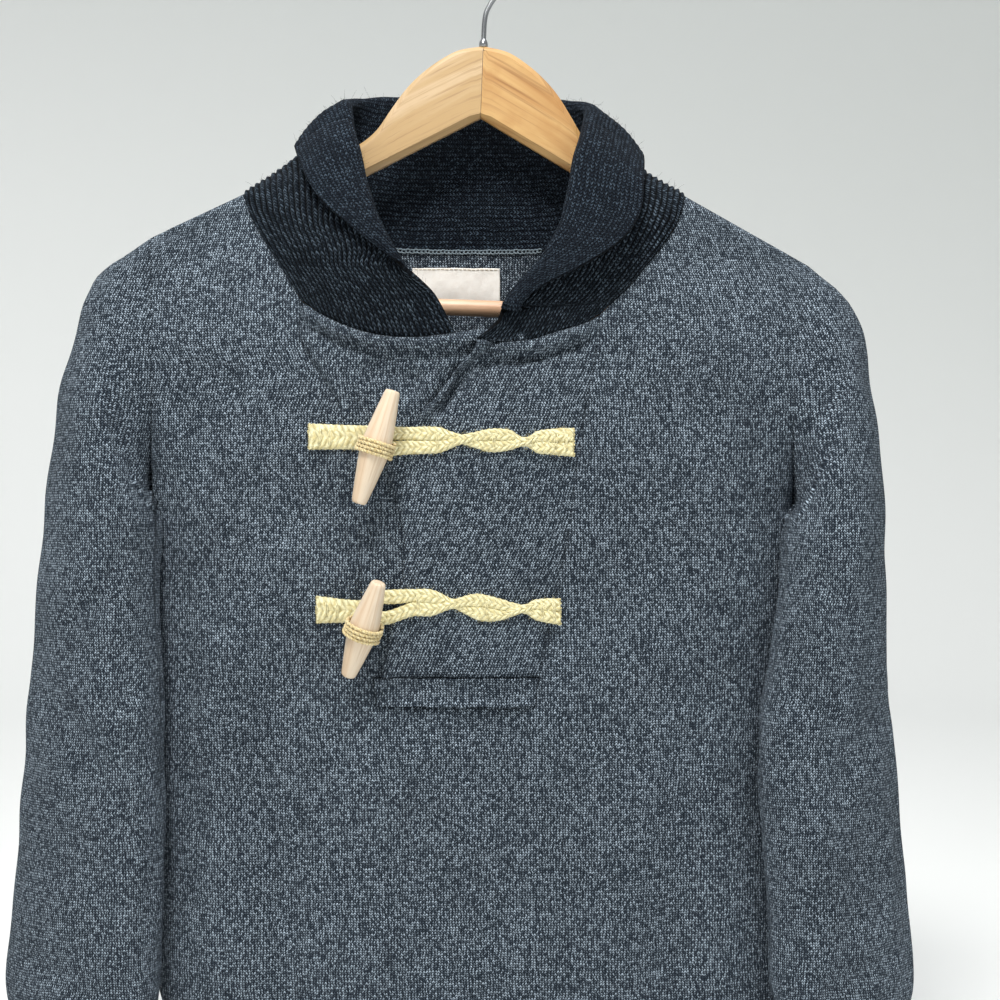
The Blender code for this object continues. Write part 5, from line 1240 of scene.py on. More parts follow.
    def make_fuzz(self, plain: Array, ribbed: Array) -> None:
        """Makes the loose fibres that stand off both faces of the collar."""
        maker = MeshMaker()
        rng = np.random.default_rng(77)
        normals = grid_normals(plain)
        s = np.linspace(0, 1, 5)[:, None]
        for number in range(2 * self.fibres):
            grid, sign = (ribbed, 1.0) if number % 2 else (plain, -1.0)
            place = rng.integers(2, grid.shape[0] - 2), rng.integers(8, grid.shape[1] - 2)
            aside = rng.normal(0.0, self.fibre_spread, (2, 3))
            reach = rng.uniform(*self.fibre_reach)
            path = grid[place] + (sign * normals[place] * s + aside[0] * s + aside[1] * s**2) * reach
            maker.add_tube(path, np.linspace(*self.fibre_radii, 5), 3)
        piece = maker.make("collar_fuzz", [self.purl])


# ---- placket and label ----------------------------------------------------------------------------
@dataclass
class Placket:
    """Under placket, over placket with its free edge slanting to the left, and the box at their foot."""

    body: BodyPieces
    knit: Material
    columns: int = 36
    underlap: float = 0.035
    over_lift: float = 0.0033
    over_settle: float = 0.03
    box_lift: float = 0.0027
    box_edge: float = 0.0034
    band: float = 0.0105
    band_rise: float = 0.0042
    band_dip: float = 0.0052
    band_start: float = 0.0012
    band_end: float = 0.0022
    dip_reach: float = 0.003
    lip: Pair = (0.0012, 0.0044)
    lip_off: float = 0.0045
    lip_reach: float = 0.0042
    trough: Pair = (0.001, 0.0036)
    trough_off: float = 0.013
    trough_reach: float = 0.0045
    lip_top: float = -0.37
    lip_fade: float = 0.01
    middle_fade: float = 0.012
    box_fade: float = 0.16
    box_drift: float = 0.0003
    box_gap: float = 0.0005
    lay_gap: float = 0.0004

    def free_edge(self, z: Array) -> Array:
        """x of the over placket's free edge at a height."""
        return row_at(OVERLAP_EDGE, z)[..., 0]

    def grid(self, side: Side) -> tuple[Array, Array]:
        """Outer points and cloth places of one placket.

        Args:
            side: LEFT for the under placket, RIGHT for the over placket.

        Returns:
            The grid of points, seam first, and its places.
        """
        left = side is Side.LEFT
        counts = self.body.front_counts
        column = counts[0] if left else counts[0] + counts[1]
        rows = slice(self.body.foot, self.body.corner + 1)
        seam = self.body.front[0][rows, column].copy()
        seam[:, 0] += BODY.seam_gap * (1 if left else -1)
        levels = self.body.levels[rows]
        keep = levels > BODY.placket_foot - 1e-6
        seam, levels = seam[keep], levels[keep]
        extra = self.underlap if left else 0.0
        guess = self.free_edge(levels) + extra
        far = self.free_edge(BODY.leaning(levels, guess)) + extra
        share = np.linspace(0, 1, self.columns + 1)[None, :]
        share = share + 0.03 * np.sin(2 * math.pi * share)
        x = mix(seam[:, :1], far[:, None], share)
        z = BODY.leaning(levels[:, None], x)
        top = row_at(LEFT_END if left else RIGHT_END, x)[..., 0] - 2 * self.lay_gap
        near_top = smooth(1 - (levels[-1] - levels) / 0.03)[:, None]
        reach = top[-1] - z[-1]
        z = z + near_top * reach[None, :]
        z[0] = np.maximum(z[0], BODY.placket_foot + self.lay_gap)
        if left:
            lift = np.zeros(z.shape)
        else:
            lift = self.over_lift * smooth((row_at(WINDOW_EDGE, z)[..., 1] - x) / self.over_settle)
        lift = lift + self.edge_relief(side, x, z, top)
        lift[:, 0] = 0.0
        grid = BODY.lifted(x, z, lift)
        grid[:, 0] = seam
        grid[:, 0, 2] = z[:, 0]
        return grid, stack(run_lengths(grid, 1) + grid[:, :1, 0], grid[..., 2])

    def edge_relief(self, side: Side, x: Array, z: Array, top: Array) -> Array:
        """Raised seam band under the collar's end, its dip below, and the over placket's soft lip."""
        below = top - z
        band = self.band_rise * smooth(below / self.band_start + 0.3)
        band = band * smooth((self.band - below) / self.band_end)
        dip = -self.band_dip * bump(below - self.band - self.dip_reach, self.dip_reach)
        total = band + dip
        if side is Side.RIGHT:
            total = total * smooth((row_at(WINDOW_EDGE, z)[..., 1] - x) / self.middle_fade)
            off = x - self.free_edge(z)
            high = smooth((z - self.lip_top) / self.lip_fade)
            lip, trough = (low + more * high for low, more in (self.lip, self.trough))
            total = total + lip * bump(off - self.lip_off, self.lip_reach)
            total = total - trough * bump(off - self.trough_off, self.trough_reach)
        return total

    def make_flap(self, side: Side, name: str) -> None:
        """Makes one placket."""
        grid, places = self.grid(side)
        facing = grid_normals(grid)
        facing = np.where(facing[..., 1:2] < 0, facing, -facing)
        inner = grid - facing * BODY.wall
        maker = MeshMaker()
        add_shell(maker, grid, inner, places)
        piece = maker.make(f"{name}_knit", [self.knit])
        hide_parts(name)

    def make_box(self) -> None:
        """Makes the box piece at the foot of both plackets."""
        z = np.linspace(BODY.window_bottom + self.lay_gap, BODY.placket_foot - self.lay_gap, 13)[:, None]
        ends = row_at(WINDOW_EDGE, z[:, 0])
        share = np.linspace(0, 1, 56)[None, :]
        x = mix(ends[:, :1] + self.box_gap, ends[:, 1:2] - self.box_gap, share)
        puff = np.sin(math.pi * share).clip(0) ** 0.4
        up = (z - z[0]) / (z[-1] - z[0])
        edges = self.box_edge * (bump(up, self.box_fade) + bump(1 - up, self.box_fade))
        lift = (self.box_lift + edges + self.box_drift * waver(x, z, 71, 0.03)) * puff
        grid = BODY.lifted(x, z + 0 * x, lift)
        inner = BODY.lifted(x, z + 0 * x, np.full(x.shape, -BODY.wall))
        maker = MeshMaker()
        add_shell(maker, grid, inner, stack(x, z + 0 * x))
        piece = maker.make("placket_box_knit", [self.knit])
        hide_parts("placket_box")

    def build(self) -> None:
        """Makes the plackets and their box."""
        self.make_flap(Side.LEFT, "placket_under")
        self.make_flap(Side.RIGHT, "placket_over")
        self.make_box()


@dataclass
class NeckLabel:
    """The bare woven label and the chain stitch along the back neck."""

    cloth: Material
    thread: Material
    pale_thread: Material
    left: float = -0.0586
    right: float = 0.0094
    top: float = -0.2482
    bottom: float = -0.2755
    off: float = 0.0016
    thick: float = 0.0009
    stitch_step: float = 0.0034
    chain_left: float = -0.071
    chain_right: float = 0.043
    chain_step: float = 0.003
    chain_z: float = -0.2347

    def inside(self, x: Array, z: Array, off: float | Array) -> Array:
        """Points that stand `off` before the back panel's inner face."""
        turn = BODY.turn(x, z)
        point = BODY.point(Facing.BACK, turn, z) - BODY.normal(Facing.BACK, turn, z) * 0.0026
        point[..., 1] -= off
        return point

    def make_label(self) -> None:
        """Makes the label, a little proud at its lower corners."""
        x, z = np.meshgrid(np.linspace(self.left, self.right, 60), np.linspace(self.bottom, self.top, 26))
        share, up = (x - self.left) / (self.right - self.left), (z - self.bottom) / (self.top - self.bottom)
        curl = 0.0009 * (1 - up) ** 2 * (np.abs(share - 0.5) * 2) ** 3 + 0.0002 * waver(x, z, 81, 0.02)
        fold = 0.00025 * (smooth((share - 0.045) / 0.02) * smooth((0.955 - share) / 0.02) - 1)
        front = self.inside(x, z, self.off + self.thick + curl - fold)
        back = self.inside(x, z, self.off + curl)
        maker = MeshMaker()
        add_shell(maker, front, back, stack(x, z))
        piece = maker.make("neck_label_cloth", [self.cloth])
        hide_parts("neck_label")

    def make_stitches(self) -> None:
        """Makes the label's short stitches and the pale chain stitch above it."""
        maker = MeshMaker()
        rng = np.random.default_rng(82)
        for z in (self.top - 0.0013, self.bottom + 0.0013):
            for x in np.arange(self.left + 0.002, self.right - 0.003, self.stitch_step):
                a = np.array([x, x + 0.0012, x + 0.0024])
                off = self.off + self.thick + np.array([0.0001, 0.0004, 0.0001])
                maker.add_tube(self.inside(a, np.full(3, z), off), 0.00028, 6)
        piece = maker.make("label_stitches", [self.thread])
        maker = MeshMaker()
        turn = around(10)
        for x in np.arange(self.chain_left, self.chain_right, self.chain_step):
            share = (x - self.chain_left) / (self.chain_right - self.chain_left)
            drop = self.chain_z - 0.0008 * math.sin(share * math.pi) + rng.uniform(-0.0003, 0.0003)
            loop_x, loop_z = x + 0.0019 * np.cos(turn), drop + 0.0014 * np.sin(turn)
            path = self.inside(loop_x, loop_z, 0.0008 + 0.0003 * np.sin(turn * 2))
            maker.add_tube(path, 0.0006, 6)
        piece = maker.make("neck_chain_stitch", [self.pale_thread])

    def build(self) -> None:
        """Makes the label and its stitches."""
        self.make_label()
        self.make_stitches()


# ---- toggles --------------------------------------------------------------------------------------
@dataclass
class ToggleFastening:
    """One wooden toggle with its braid tab, two-cord braid loop and twine wrap."""

    name: str
    wood: Material
    braid: Material
    twine: Material
    x: float
    z: float
    length: float
    lean: float
    tilt: float
    off: float
    loop: Table
    tab: Table
    crossings: tuple[float, ...]
    split_end: float
    waist: float = 0.011
    end: float = 0.0052
    lift: float = 0.0033
    lay_gap: float = 0.0004
    loop_thick: float = 0.0032
    crown: float = 0.0008
    twine_thick: float = 0.0026
    turns: int = 4
    twine_pitch: float = 0.0027
    ply_off: float = 0.00062
    ply_radius: float = 0.00085
    strand: float = 0.0042
    strand_height: float = 0.0009
    twist_pitch: float = 0.0062
    twine_out: float = 0.0016
    wrap_drift: float = 0.0005
    wrap_wobble: float = 0.0003
    tab_thick: float = 0.0024
    tab_tacks: Pair = (0.0075, 0.015)
    cord_share: float = 0.52
    cord_limits: Pair = (0.0066, 0.01)
    cord_start: float = 0.01
    cord_thick: float = 0.0027
    least_apart: float = 0.0026
    swap_reach: float = 0.0055
    cross_reach: float = 0.0085
    cross_rise: float = 0.001
    cross_lift: float = 0.0006
    loop_tacks: Pair = (0.0045, 0.0125)
    tack_radius: float = 0.00045
    tack_apart: float = 0.0013
    fray_inset: float = 0.0008
    tab_fibres: int = 34
    loop_fibres: int = 110

    @property
    def centre(self) -> Array:
        """Middle of the toggle."""
        cloth = float(BODY.depth(Facing.FRONT, np.array(self.x), np.array(self.z)))
        out = cloth + self.lift + self.lay_gap + self.loop_thick + self.crown + self.twine_thick + self.off
        return np.array([self.x, -(out + self.waist), self.z])

    def axes(self) -> tuple[Array, Array, Array]:
        """The toggle's long axis, the way aside and the way to the front."""
        lean, tilt = math.radians(self.lean), math.radians(self.tilt)
        axis = np.array([math.sin(lean) * math.cos(tilt), -math.sin(tilt), math.cos(lean) * math.cos(tilt)])
        aside = unit(np.cross(axis, np.array([0.0, -1.0, 0.0])))
        return axis, aside, unit(np.cross(aside, axis))

    def radius(self, share: Array) -> Array:
        """Radius of the toggle at shares of its length."""
        off = np.abs(share - 0.5) * 2
        taper = mix(self.waist, self.end, off**1.15)
        return taper * np.sqrt(np.maximum(1 - np.maximum(off - 0.94, 0.0) / 0.06 * 0.1, 0.05))

    def make_toggle(self) -> None:
        """Makes the turned toggle, with softly rounded ends."""
        axis, aside, front = self.axes()
        spans = ((0, 0.05, 8), (0.07, 0.93, 56), (0.95, 1, 8))
        shares = np.concatenate([np.linspace(*span) for span in spans])
        radii = self.radius(shares) * (1 + 0.004 * np.sin(shares * 40))
        round_off = np.minimum(shares, 1 - shares) * self.length
        radii = radii * np.sqrt(np.clip(1 - (1 - np.minimum(round_off / 0.001, 1)) ** 2 * 0.25, 0, 1))
        turn = around(48)
        ring = aside * np.cos(turn)[:, None] + front * np.sin(turn)[:, None]
        stations = (shares - 0.5) * self.length
        grid = self.centre + axis * stations[:, None, None] + ring * radii[:, None, None]
        caps = []
        for row, sign in ((0, -1), (-1, 1)):
            middle = self.centre + axis * (stations[row] + sign * 0.0004)
            caps.append([mix(middle, grid[row], s) for s in (0.02, 0.35, 0.7)][:: 1 if row == 0 else -1])
        grid = np.concatenate([np.stack(caps[0]), grid, np.stack(caps[1])])
        run = run_lengths(grid, 0).mean(axis=1)
        maker = MeshMaker()
        maker.add_grid(grid, stack(np.linspace(0, 0.069, 49)[None, :], run[:, None]), closed=True)
        maker.add_cap(grid[0])
        maker.add_cap(grid[-1], flip=True)
        piece = maker.make(f"toggle_{self.name}_wood", [self.wood], sharp=60)
        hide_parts(f"toggle_{self.name}")

    def make_wrap(self) -> None:
        """Makes the wrap: turns of two-ply twine round the toggle's waist."""
        axis, aside, front = self.axes()
        maker = MeshMaker()
        steps = 60 * self.turns
        t = np.linspace(0, 1, steps)
        turn = 2 * math.pi * self.turns * t
        along = (t - 0.5) * self.twine_pitch * self.turns + self.wrap_drift * np.sin(turn + 0.6)
        wobble = self.wrap_wobble * np.sin(turn * 2.7)
        for ply in (0.0, math.pi):
            spin = 2 * math.pi * t * self.turns * 2 * math.pi * self.waist / self.twist_pitch + ply
            radius = self.waist + self.twine_out + wobble + self.ply_off * np.cos(spin)
            shift = along + self.ply_off * np.sin(spin)
            ring = aside * np.cos(turn)[:, None] + front * np.sin(turn)[:, None]
            path = self.centre + axis * shift[:, None] + ring * radius[:, None]
            maker.add_tube(path, self.ply_radius, 8, up=tuple(axis))
        piece = maker.make(f"wrap_{self.name}_twine", [self.twine])
        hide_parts(f"wrap_{self.name}")

    def braid_relief(self, x: Array, share: Array, half: float) -> Array:
        """Relief of a flat plait: strands that slant down to its middle.

        Args:
            x: length along it.
            share: across it, from 0 to 1.
            half: height of the relief.

        Returns:
            How far the strands stand up.
        """
        off = np.abs(share - 0.5) * 2
        strand = np.abs(np.sin(math.pi * (x / self.strand + off * 0.95))) ** 0.7
        middle = 1 - 0.35 * bump(off, 0.12)
        edge = np.sqrt(np.clip(1 - off**6, 0, 1))
        return half * (strand * middle + 0.25 * waver(x + 0 * share, share * 0.01, 66, 0.004)) * edge

    def add_braid(
        self,
        maker: MeshMaker,
        x: Array,
        middle: Array,
        wide: Array,
        base: Array,
        thick: float,
        rows: int = 15,
    ) -> None:
        """Adds one flat cord of braid along the front.

        Args:
            maker: what gathers the piece.
            x: x along it.
            middle: height of its middle.
            wide: its width.
            base: how far its back stands off the front's surface.
            thick: its thickness.
            rows: points across it.
        """
        share = np.linspace(0, 1, rows)[:, None]
        fray = 0.00035 * np.sin(2 * math.pi * x / self.strand)
        half = wide / 2 + fray * 0.5
        z = middle[None, :] + (share - 0.5) * 2 * half[None, :]
        xs = np.broadcast_to(x[None, :], z.shape)
        dome = np.sqrt(np.clip(1 - (np.abs(share - 0.5) * 2) ** 3.0, 0.0, 1.0))
        rise = self.braid_relief(xs, share, self.strand_height)
        outer = BODY.lifted(xs, z, base[None, :] + thick * (0.35 + 0.65 * dome) + rise)
        inner = BODY.lifted(xs, z, base[None, :] + thick * 0.3 * (1 - dome))
        add_shell(maker, outer, inner, stack(xs, share * 0.01))

    def make_tab(self) -> None:
        """Makes the sewn tab at the left, with its frayed end and tack stitches."""
        x = np.linspace(self.tab[0][0], self.tab[-1][0], 110)
        rows = row_at(self.tab, x)
        middle, wide = rows.mean(axis=1), rows[:, 0] - rows[:, 1]
        maker = MeshMaker()
        self.add_braid(maker, x, middle, wide, np.full(x.shape, self.lay_gap), self.tab_thick, rows=27)
        end = self.tab[0][0]
        tacks = tuple(end + off for off in self.tab_tacks)
        self.add_tacks(maker, tacks, self.tab, self.lay_gap + 0.003)
        self.add_fray(maker, end, rows[0], -1, self.lay_gap + 0.0015, 91)
        piece = maker.make(f"tab_{self.name}_braid", [self.braid])
        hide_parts(f"tab_{self.name}")

    def make_loop(self) -> None:
        """Makes the loop: two cords side by side that cross where it narrows."""
        table = self.loop
        x = np.linspace(table[1][0], table[-1][0], 420)
        rows = row_at(table, x)
        middle, wide = rows.mean(axis=1), rows[:, 0] - rows[:, 1]
        maker = MeshMaker()
        swap = np.ones(x.shape)
        over = np.zeros(x.shape)
        for spot in self.crossings:
            swap = swap * -np.tanh((x - spot) / self.swap_reach)
            over = over + bump(x - spot, self.cross_reach)
        cord = np.clip(wide * self.cord_share, *self.cord_limits)
        apart = np.maximum(wide - cord, 0.0) / 2
        start = smooth((x - table[1][0]) / self.cord_start)
        for way in (1, -1):
            centre = middle + way * swap * np.maximum(apart, self.least_apart * np.abs(swap))
            front = np.where(np.gradient(way * swap) > 0, 1.0, -1.0)
            lift = self.lift + self.lay_gap + self.cross_rise * over * front + self.cross_lift * over
            self.add_braid(maker, x, centre, cord * (0.8 + 0.2 * start), lift, self.cord_thick)
        ends = (table[-1][0] - off for off in self.loop_tacks)
        self.add_tacks(maker, (*ends, *self.tack_spots()), table, self.lift + 0.0036)
        self.add_fray(maker, table[-1][0], rows[-1], 1, self.lift + 0.0018, 92)
        piece = maker.make(f"loop_{self.name}_braid", [self.braid])
        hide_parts(f"loop_{self.name}")

    def tack_spots(self) -> tuple[float, ...]:
        """x of the tacks that hold both cords together, halfway between crossings."""
        first, second = self.crossings
        return (self.split_end + 0.007, (first + second) / 2)

    def add_tacks(self, maker: MeshMaker, spots: tuple[float, ...], table: Table, lift: float) -> None:
        """Adds short upright tack stitches across the braid.

        Args:
            maker: what gathers the piece.
            spots: x of each tack.
            table: the braid's heights.
            lift: how far it stands off the front.
        """
        for spot in spots:
            top, bottom = row_at(table, spot)
            for k in range(2):
                z = np.linspace(mix(bottom, top, 0.2), mix(bottom, top, 0.8), 7)
                arc = lift + 0.0004 * np.sin(np.linspace(0, math.pi, 7))
                path = BODY.lifted(spot + (k - 0.5) * self.tack_apart + 0 * z, z, arc)
                maker.add_tube(path, self.tack_radius, 6)

    def add_fray(self, maker: MeshMaker, x: float, ends: Array, way: int, lift: float, seed: int) -> None:
        """Adds the frayed strand ends and loose fibres of the braid.

        Args:
            maker: what gathers the piece.
            x: x of the cut end.
            ends: top and bottom height there.
            way: -1 if it ends to the left, 1 to the right.
            lift: how far it stands off the front.
            seed: which fray.
        """
        rng = np.random.default_rng(seed + int(abs(self.z) * 1000))
        for z in np.linspace(ends[1] + self.fray_inset, ends[0] - self.fray_inset, 12):
            reach = rng.uniform(0.0004, 0.0012)
            s = np.linspace(-0.6, 1, 6)
            height = z + 0.0008 * s * rng.uniform(-1, 1)
            off = lift + 0.0008 * s * rng.uniform(-0.6, 0.6)
            maker.add_tube(BODY.lifted(x + way * s * reach, height, off), np.linspace(0.0012, 0.0007, 6), 6)
        table = self.tab if way < 0 else self.loop
        for _ in range(self.tab_fibres if way < 0 else self.loop_fibres):
            spot = rng.uniform(table[0][0] + 0.004, table[-1][0] - 0.001)
            top, bottom = row_at(table, spot)
            z, up = (top, 1) if rng.random() < 0.5 else (bottom, -1)
            s = np.linspace(0, 1, 5)
            reach, side = rng.uniform(0.001, 0.0034), rng.uniform(-1.0, 1.0)
            height = z - up * 0.0006 + up * reach * s * rng.uniform(0.3, 1.0)
            off = lift + 0.001 * s * rng.uniform(-0.5, 1.2)
            path = BODY.lifted(spot + side * reach * s, height, off)
            maker.add_tube(path, np.linspace(0.00013, 0.00005, 5), 3)

    def build(self) -> None:
        """Makes the toggle and everything that holds it."""
        self.make_tab()
        self.make_loop()
        self.make_wrap()
        self.make_toggle()


# ---- hanger ---------------------------------------------------------------------------------------
@dataclass
class Hanger:
    """The wooden hanger: two arms mitred in the middle, the trouser bar and the steel hook."""

    left_wood: Material
    right_wood: Material
    bar_wood: Material
    steel: Material
    thick: float = 0.0112
    edge_round: float = 0.004
    mitre_drop: float = 0.054
    bar_drop: float = 0.1972
    bar_radius: float = 0.0062
    bar_reach: float = 0.1876
    wire: float = 0.0019
    hook_radius: float = 0.023
    below_cloth: float = 0.0062

    def outline(self) -> Array:
        """The outline of one arm: along it, and down from the top of the wood."""
        slope, (reach, down) = BODY.shoulder_slope, BODY.shoulder_start
        lift = self.below_cloth / math.cos(math.atan(slope))
        t = np.linspace(0, ARM_TOP[-1][0], 46)
        points = [(0.0, s) for s in np.linspace(self.mitre_drop, 0.004, 12)]
        points += list(zip(t, row_at(ARM_TOP, t)[:, 0]))
        points += [(a, down + slope * (a - reach) + lift) for a in (0.137, reach, 0.175, 0.2)]
        points += list(ARM_END)
        last = points[-1]
        back = np.linspace(0.04, 0.96, 24)
        points += [(mix(last[0], 0.0, s), mix(last[1], self.mitre_drop, s)) for s in back]
        return np.array(points)

    def make_arm(self, side: Side, wood: Material) -> None:
        """Makes one arm, its edges rounded over.

        Args:
            side: which arm.
            wood: its finish.
        """
        line = self.outline()
        before, after = unit(line - np.roll(line, 1, axis=0)), unit(np.roll(line, -1, axis=0) - line)
        inward = unit(np.stack([-before[:, 1] - after[:, 1], before[:, 0] + after[:, 0]], axis=1))
        bend = np.maximum((inward * np.stack([-after[:, 1], after[:, 0]], axis=1)).sum(1), 0.5)[:, None]
        half, loops = self.thick / 2, []
        for k in range(6):
            loops.append((self.edge_round * (1 - k / 5), -half + self.edge_round * k / 5))
        loops += [(inset, -y) for inset, y in reversed(loops)]
        grid = []
        for inset, y in loops:
            loop = line + inward * inset / bend
            on_mitre = line[:, 0] < 1e-6
            loop[on_mitre, 0] = 0.00015
            grid.append(BODY.rolled(side.value * loop[:, 0], y, -BODY.wood_top - loop[:, 1]))
        grid = np.stack(grid)
        slant = math.atan(BODY.shoulder_slope)
        along = np.abs(line[:, 0]) * math.cos(slant) + line[:, 1] * math.sin(slant)
        across = line[:, 1] * math.cos(slant) - np.abs(line[:, 0]) * math.sin(slant)
        wide = np.concatenate([across, across[:1]])
        deep = np.array([y for _, y in loops])[:, None]
        places = stack(wide[None, :] + deep, np.concatenate([along, along[:1]])[None, :])
        maker = MeshMaker()
        maker.add_grid(grid, places, closed=True)
        name = side.name.lower()
        piece = self.close_faces(maker, grid, places, f"hanger_arm_{name}_wood", wood)
        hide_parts(f"hanger_arm_{name}")

    def close_faces(
        self, maker: MeshMaker, grid: Array, places: Array, name: str, wood: Material
    ) -> bpy.types.Object:
        """Closes the arm's flat front and back and makes it one piece.

        Args:
            maker: what gathers the piece.
            grid: its rounded edge, loop by loop.
            places: the cloth places of that grid.
            name: the piece's name.
            wood: its finish.

        Returns:
            The new object.
        """
        piece = maker.make(name, [wood])
        made = bmesh.new()
        made.from_mesh(piece.data)
        layer = made.loops.layers.uv["cloth"]
        made.verts.ensure_lookup_table()
        columns = grid.shape[1]
        for row in (0, len(grid) - 1):
            ring = [made.verts[row * columns + c] for c in range(columns)]
            face = made.faces.new(ring)
            face.smooth = True
            for loop, c in zip(face.loops, range(columns)):
                loop[layer].uv = places[row, c]
        bmesh.ops.triangulate(made, faces=[f for f in made.faces if len(f.verts) > 4])
        bmesh.ops.recalc_face_normals(made, faces=made.faces)
        made.to_mesh(piece.data)
        made.free()
        piece.data.set_sharp_from_angle(angle=math.radians(40))
        return piece

    def make_bar(self) -> None:
        """Makes the trouser bar, with softly rounded ends."""
        spans = ((-1, -0.97, 7), (-0.95, 0.95, 80), (0.97, 1, 7))
        x = np.concatenate([np.linspace(*span) for span in spans]) * self.bar_reach
        off = np.minimum(self.bar_reach - np.abs(x), 0.003) / 0.003
        radii = self.bar_radius * np.sqrt(np.clip(1 - (1 - off) ** 2 * 0.35, 0, 1))
        radii = radii * (1 + 0.004 * np.sin(x * 90))
        turn = around(40)
        z = -BODY.wood_top - self.bar_drop + np.sin(turn)[None, :] * radii[:, None]
        y = np.cos(turn)[None, :] * radii[:, None]
        grid = BODY.rolled(x[:, None], y, z)
        maker = MeshMaker()
        maker.add_grid(grid, stack(np.linspace(0, 0.039, 41)[None, :], x[:, None]), closed=True)
        maker.add_cap(grid[0])
        maker.add_cap(grid[-1])
        piece = maker.make("hanger_bar_wood", [self.bar_wood], sharp=50)
        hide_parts("hanger_bar")

    def make_hook(self) -> None:
        """Makes the hook's wire: up from the wood, aside, and round to its open end on the left."""
        route = [(0.0, -0.0858), (0.0, -0.076), (0.0002, -0.068), (0.0014, -0.06)]
        route += [(0.0058, -0.051), (0.0112, -0.0438)]
        middle = self.wire - self.hook_radius
        for degrees in range(-45, 206, 10):
            angle = math.radians(degrees)
            route.append((self.hook_radius * math.cos(angle), middle + self.hook_radius * math.sin(angle)))
        keyed = tuple((float(k), *p) for k, p in enumerate(route))
        points = row_at(keyed, np.linspace(0, len(route) - 1, 170))
        path = BODY.rolled(points[:, 0], 0.0, points[:, 1])
        maker = MeshMaker()
        maker.add_tube(path, self.wire, 20)
        foot = np.linspace(0, 1, 5)[:, None]
        base = mix(path[0], path[3], foot) + np.array([0.0, 0.0, -0.0003])
        maker.add_tube(base, np.array([0.0033, 0.0034, 0.0032, 0.0027, 0.0021]), 20)
        piece = maker.make("hanger_hook_steel", [self.steel])
        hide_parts("hanger_hook")

    def build(self) -> None:
        """Makes the whole hanger."""
        self.make_arm(Side.LEFT, self.left_wood)
        self.make_arm(Side.RIGHT, self.right_wood)
        self.make_bar()
        self.make_hook()


# ---- finishes -------------------------------------------------------------------------------------
@dataclass
class Graph:
    """Puts the shader nodes of one material together."""

    material: Material

    @classmethod
    def new(cls, name: str) -> "Graph":
        """Starts a material of that name."""
        material = bpy.data.materials.new(name)
        material.use_nodes = True
        return cls(material)

    @property
    def shader(self) -> bpy.types.Node:
        """The material's surface shader."""
        return self.material.node_tree.nodes["Principled BSDF"]

    def node(self, kind: str, **values: object) -> bpy.types.Node:
        """Adds a node and sets its properties."""
        made = self.material.node_tree.nodes.new(kind)
        for key, value in values.items():
            setattr(made, key, value)
        return made

    def link(self, source: object, target: Socket) -> None:
        """Puts a socket, number or colour into a socket."""
        if isinstance(source, Socket):
            self.material.node_tree.links.new(source, target)
        else:
            target.default_value = source

    def math(self, operation: str, a: object, b: object = 0.0, c: object = 0.0) -> Socket:
        """Adds a maths node over sockets or numbers."""
        made = self.node("ShaderNodeMath", operation=operation)
        for value, socket in zip((a, b, c), made.inputs):
            self.link(value, socket)
        return made.outputs[0]

    def cloth_uv(self) -> tuple[Socket, Socket]:
        """The cloth place in metres: across and along."""
        place = self.node("ShaderNodeUVMap", uv_map="cloth")
        parts = self.node("ShaderNodeSeparateXYZ")
        self.link(place.outputs[0], parts.inputs[0])
        return parts.outputs[0], parts.outputs[1]

    def join(self, x: object, y: object, z: object = 0.0) -> Socket:
        """A vector of three values."""
        made = self.node("ShaderNodeCombineXYZ")
        for value, socket in zip((x, y, z), made.inputs):
            self.link(value, socket)
        return made.outputs[0]

    def noise(
        self, vector: object, scale: float, detail: float = 2.0, warp: float = 0.0
    ) -> Socket:
        """Soft noise over a vector."""
        made = self.node("ShaderNodeTexNoise", noise_dimensions="3D")
        self.link(vector, made.inputs["Vector"])
        made.inputs["Scale"].default_value = scale
        made.inputs["Detail"].default_value = detail
        made.inputs["Distortion"].default_value = warp
        return made.outputs["Fac"]

    def random(self, vector: object) -> Socket:
        """One random value for each whole cell of a vector."""
        made = self.node("ShaderNodeTexWhiteNoise", noise_dimensions="3D")
        self.link(vector, made.inputs["Vector"])
        return made.outputs["Value"]

    def span(self, value: object, low: float, high: float) -> Socket:
        """0 at `low`, 1 at `high`, soft between them."""
        made = self.node("ShaderNodeMapRange", interpolation_type="SMOOTHSTEP")
        self.link(value, made.inputs[0])
        made.inputs[1].default_value, made.inputs[2].default_value = low, high
        return made.outputs[0]

    def blend(self, share: object, a: object, b: object, way: str = "MIX") -> Socket:
        """Mixes two colours."""
        made = self.node("ShaderNodeMix", data_type="RGBA", blend_type=way)
        self.link(share, made.inputs[0])
        self.link(a, made.inputs[6])
        self.link(b, made.inputs[7])
        return made.outputs[2]

    def bump(self, height: object, strength: float, distance: float) -> None:
        """Sends a height to the shader as bump."""
        made = self.node("ShaderNodeBump")
        made.inputs["Strength"].default_value = strength
        made.inputs["Distance"].default_value = distance
        self.link(height, made.inputs["Height"])
        self.link(made.outputs[0], self.shader.inputs["Normal"])

    def surface(self, **values: float) -> None:
        """Sets even values straight on the shader."""
        for key, value in values.items():
            self.shader.inputs[key.replace("_", " ")].default_value = value


def rgb(red: float, green: float, blue: float) -> Colour:
    """A colour from the values that an even patch of it shows on screen, 0 to 255."""

    def linear(value: float) -> float:
        """The light of one channel."""
        value /= 255
        return value / 12.92 if value <= 0.04045 else ((value + 0.055) / 1.055) ** 2.4

    return linear(red), linear(green), linear(blue), 1.0


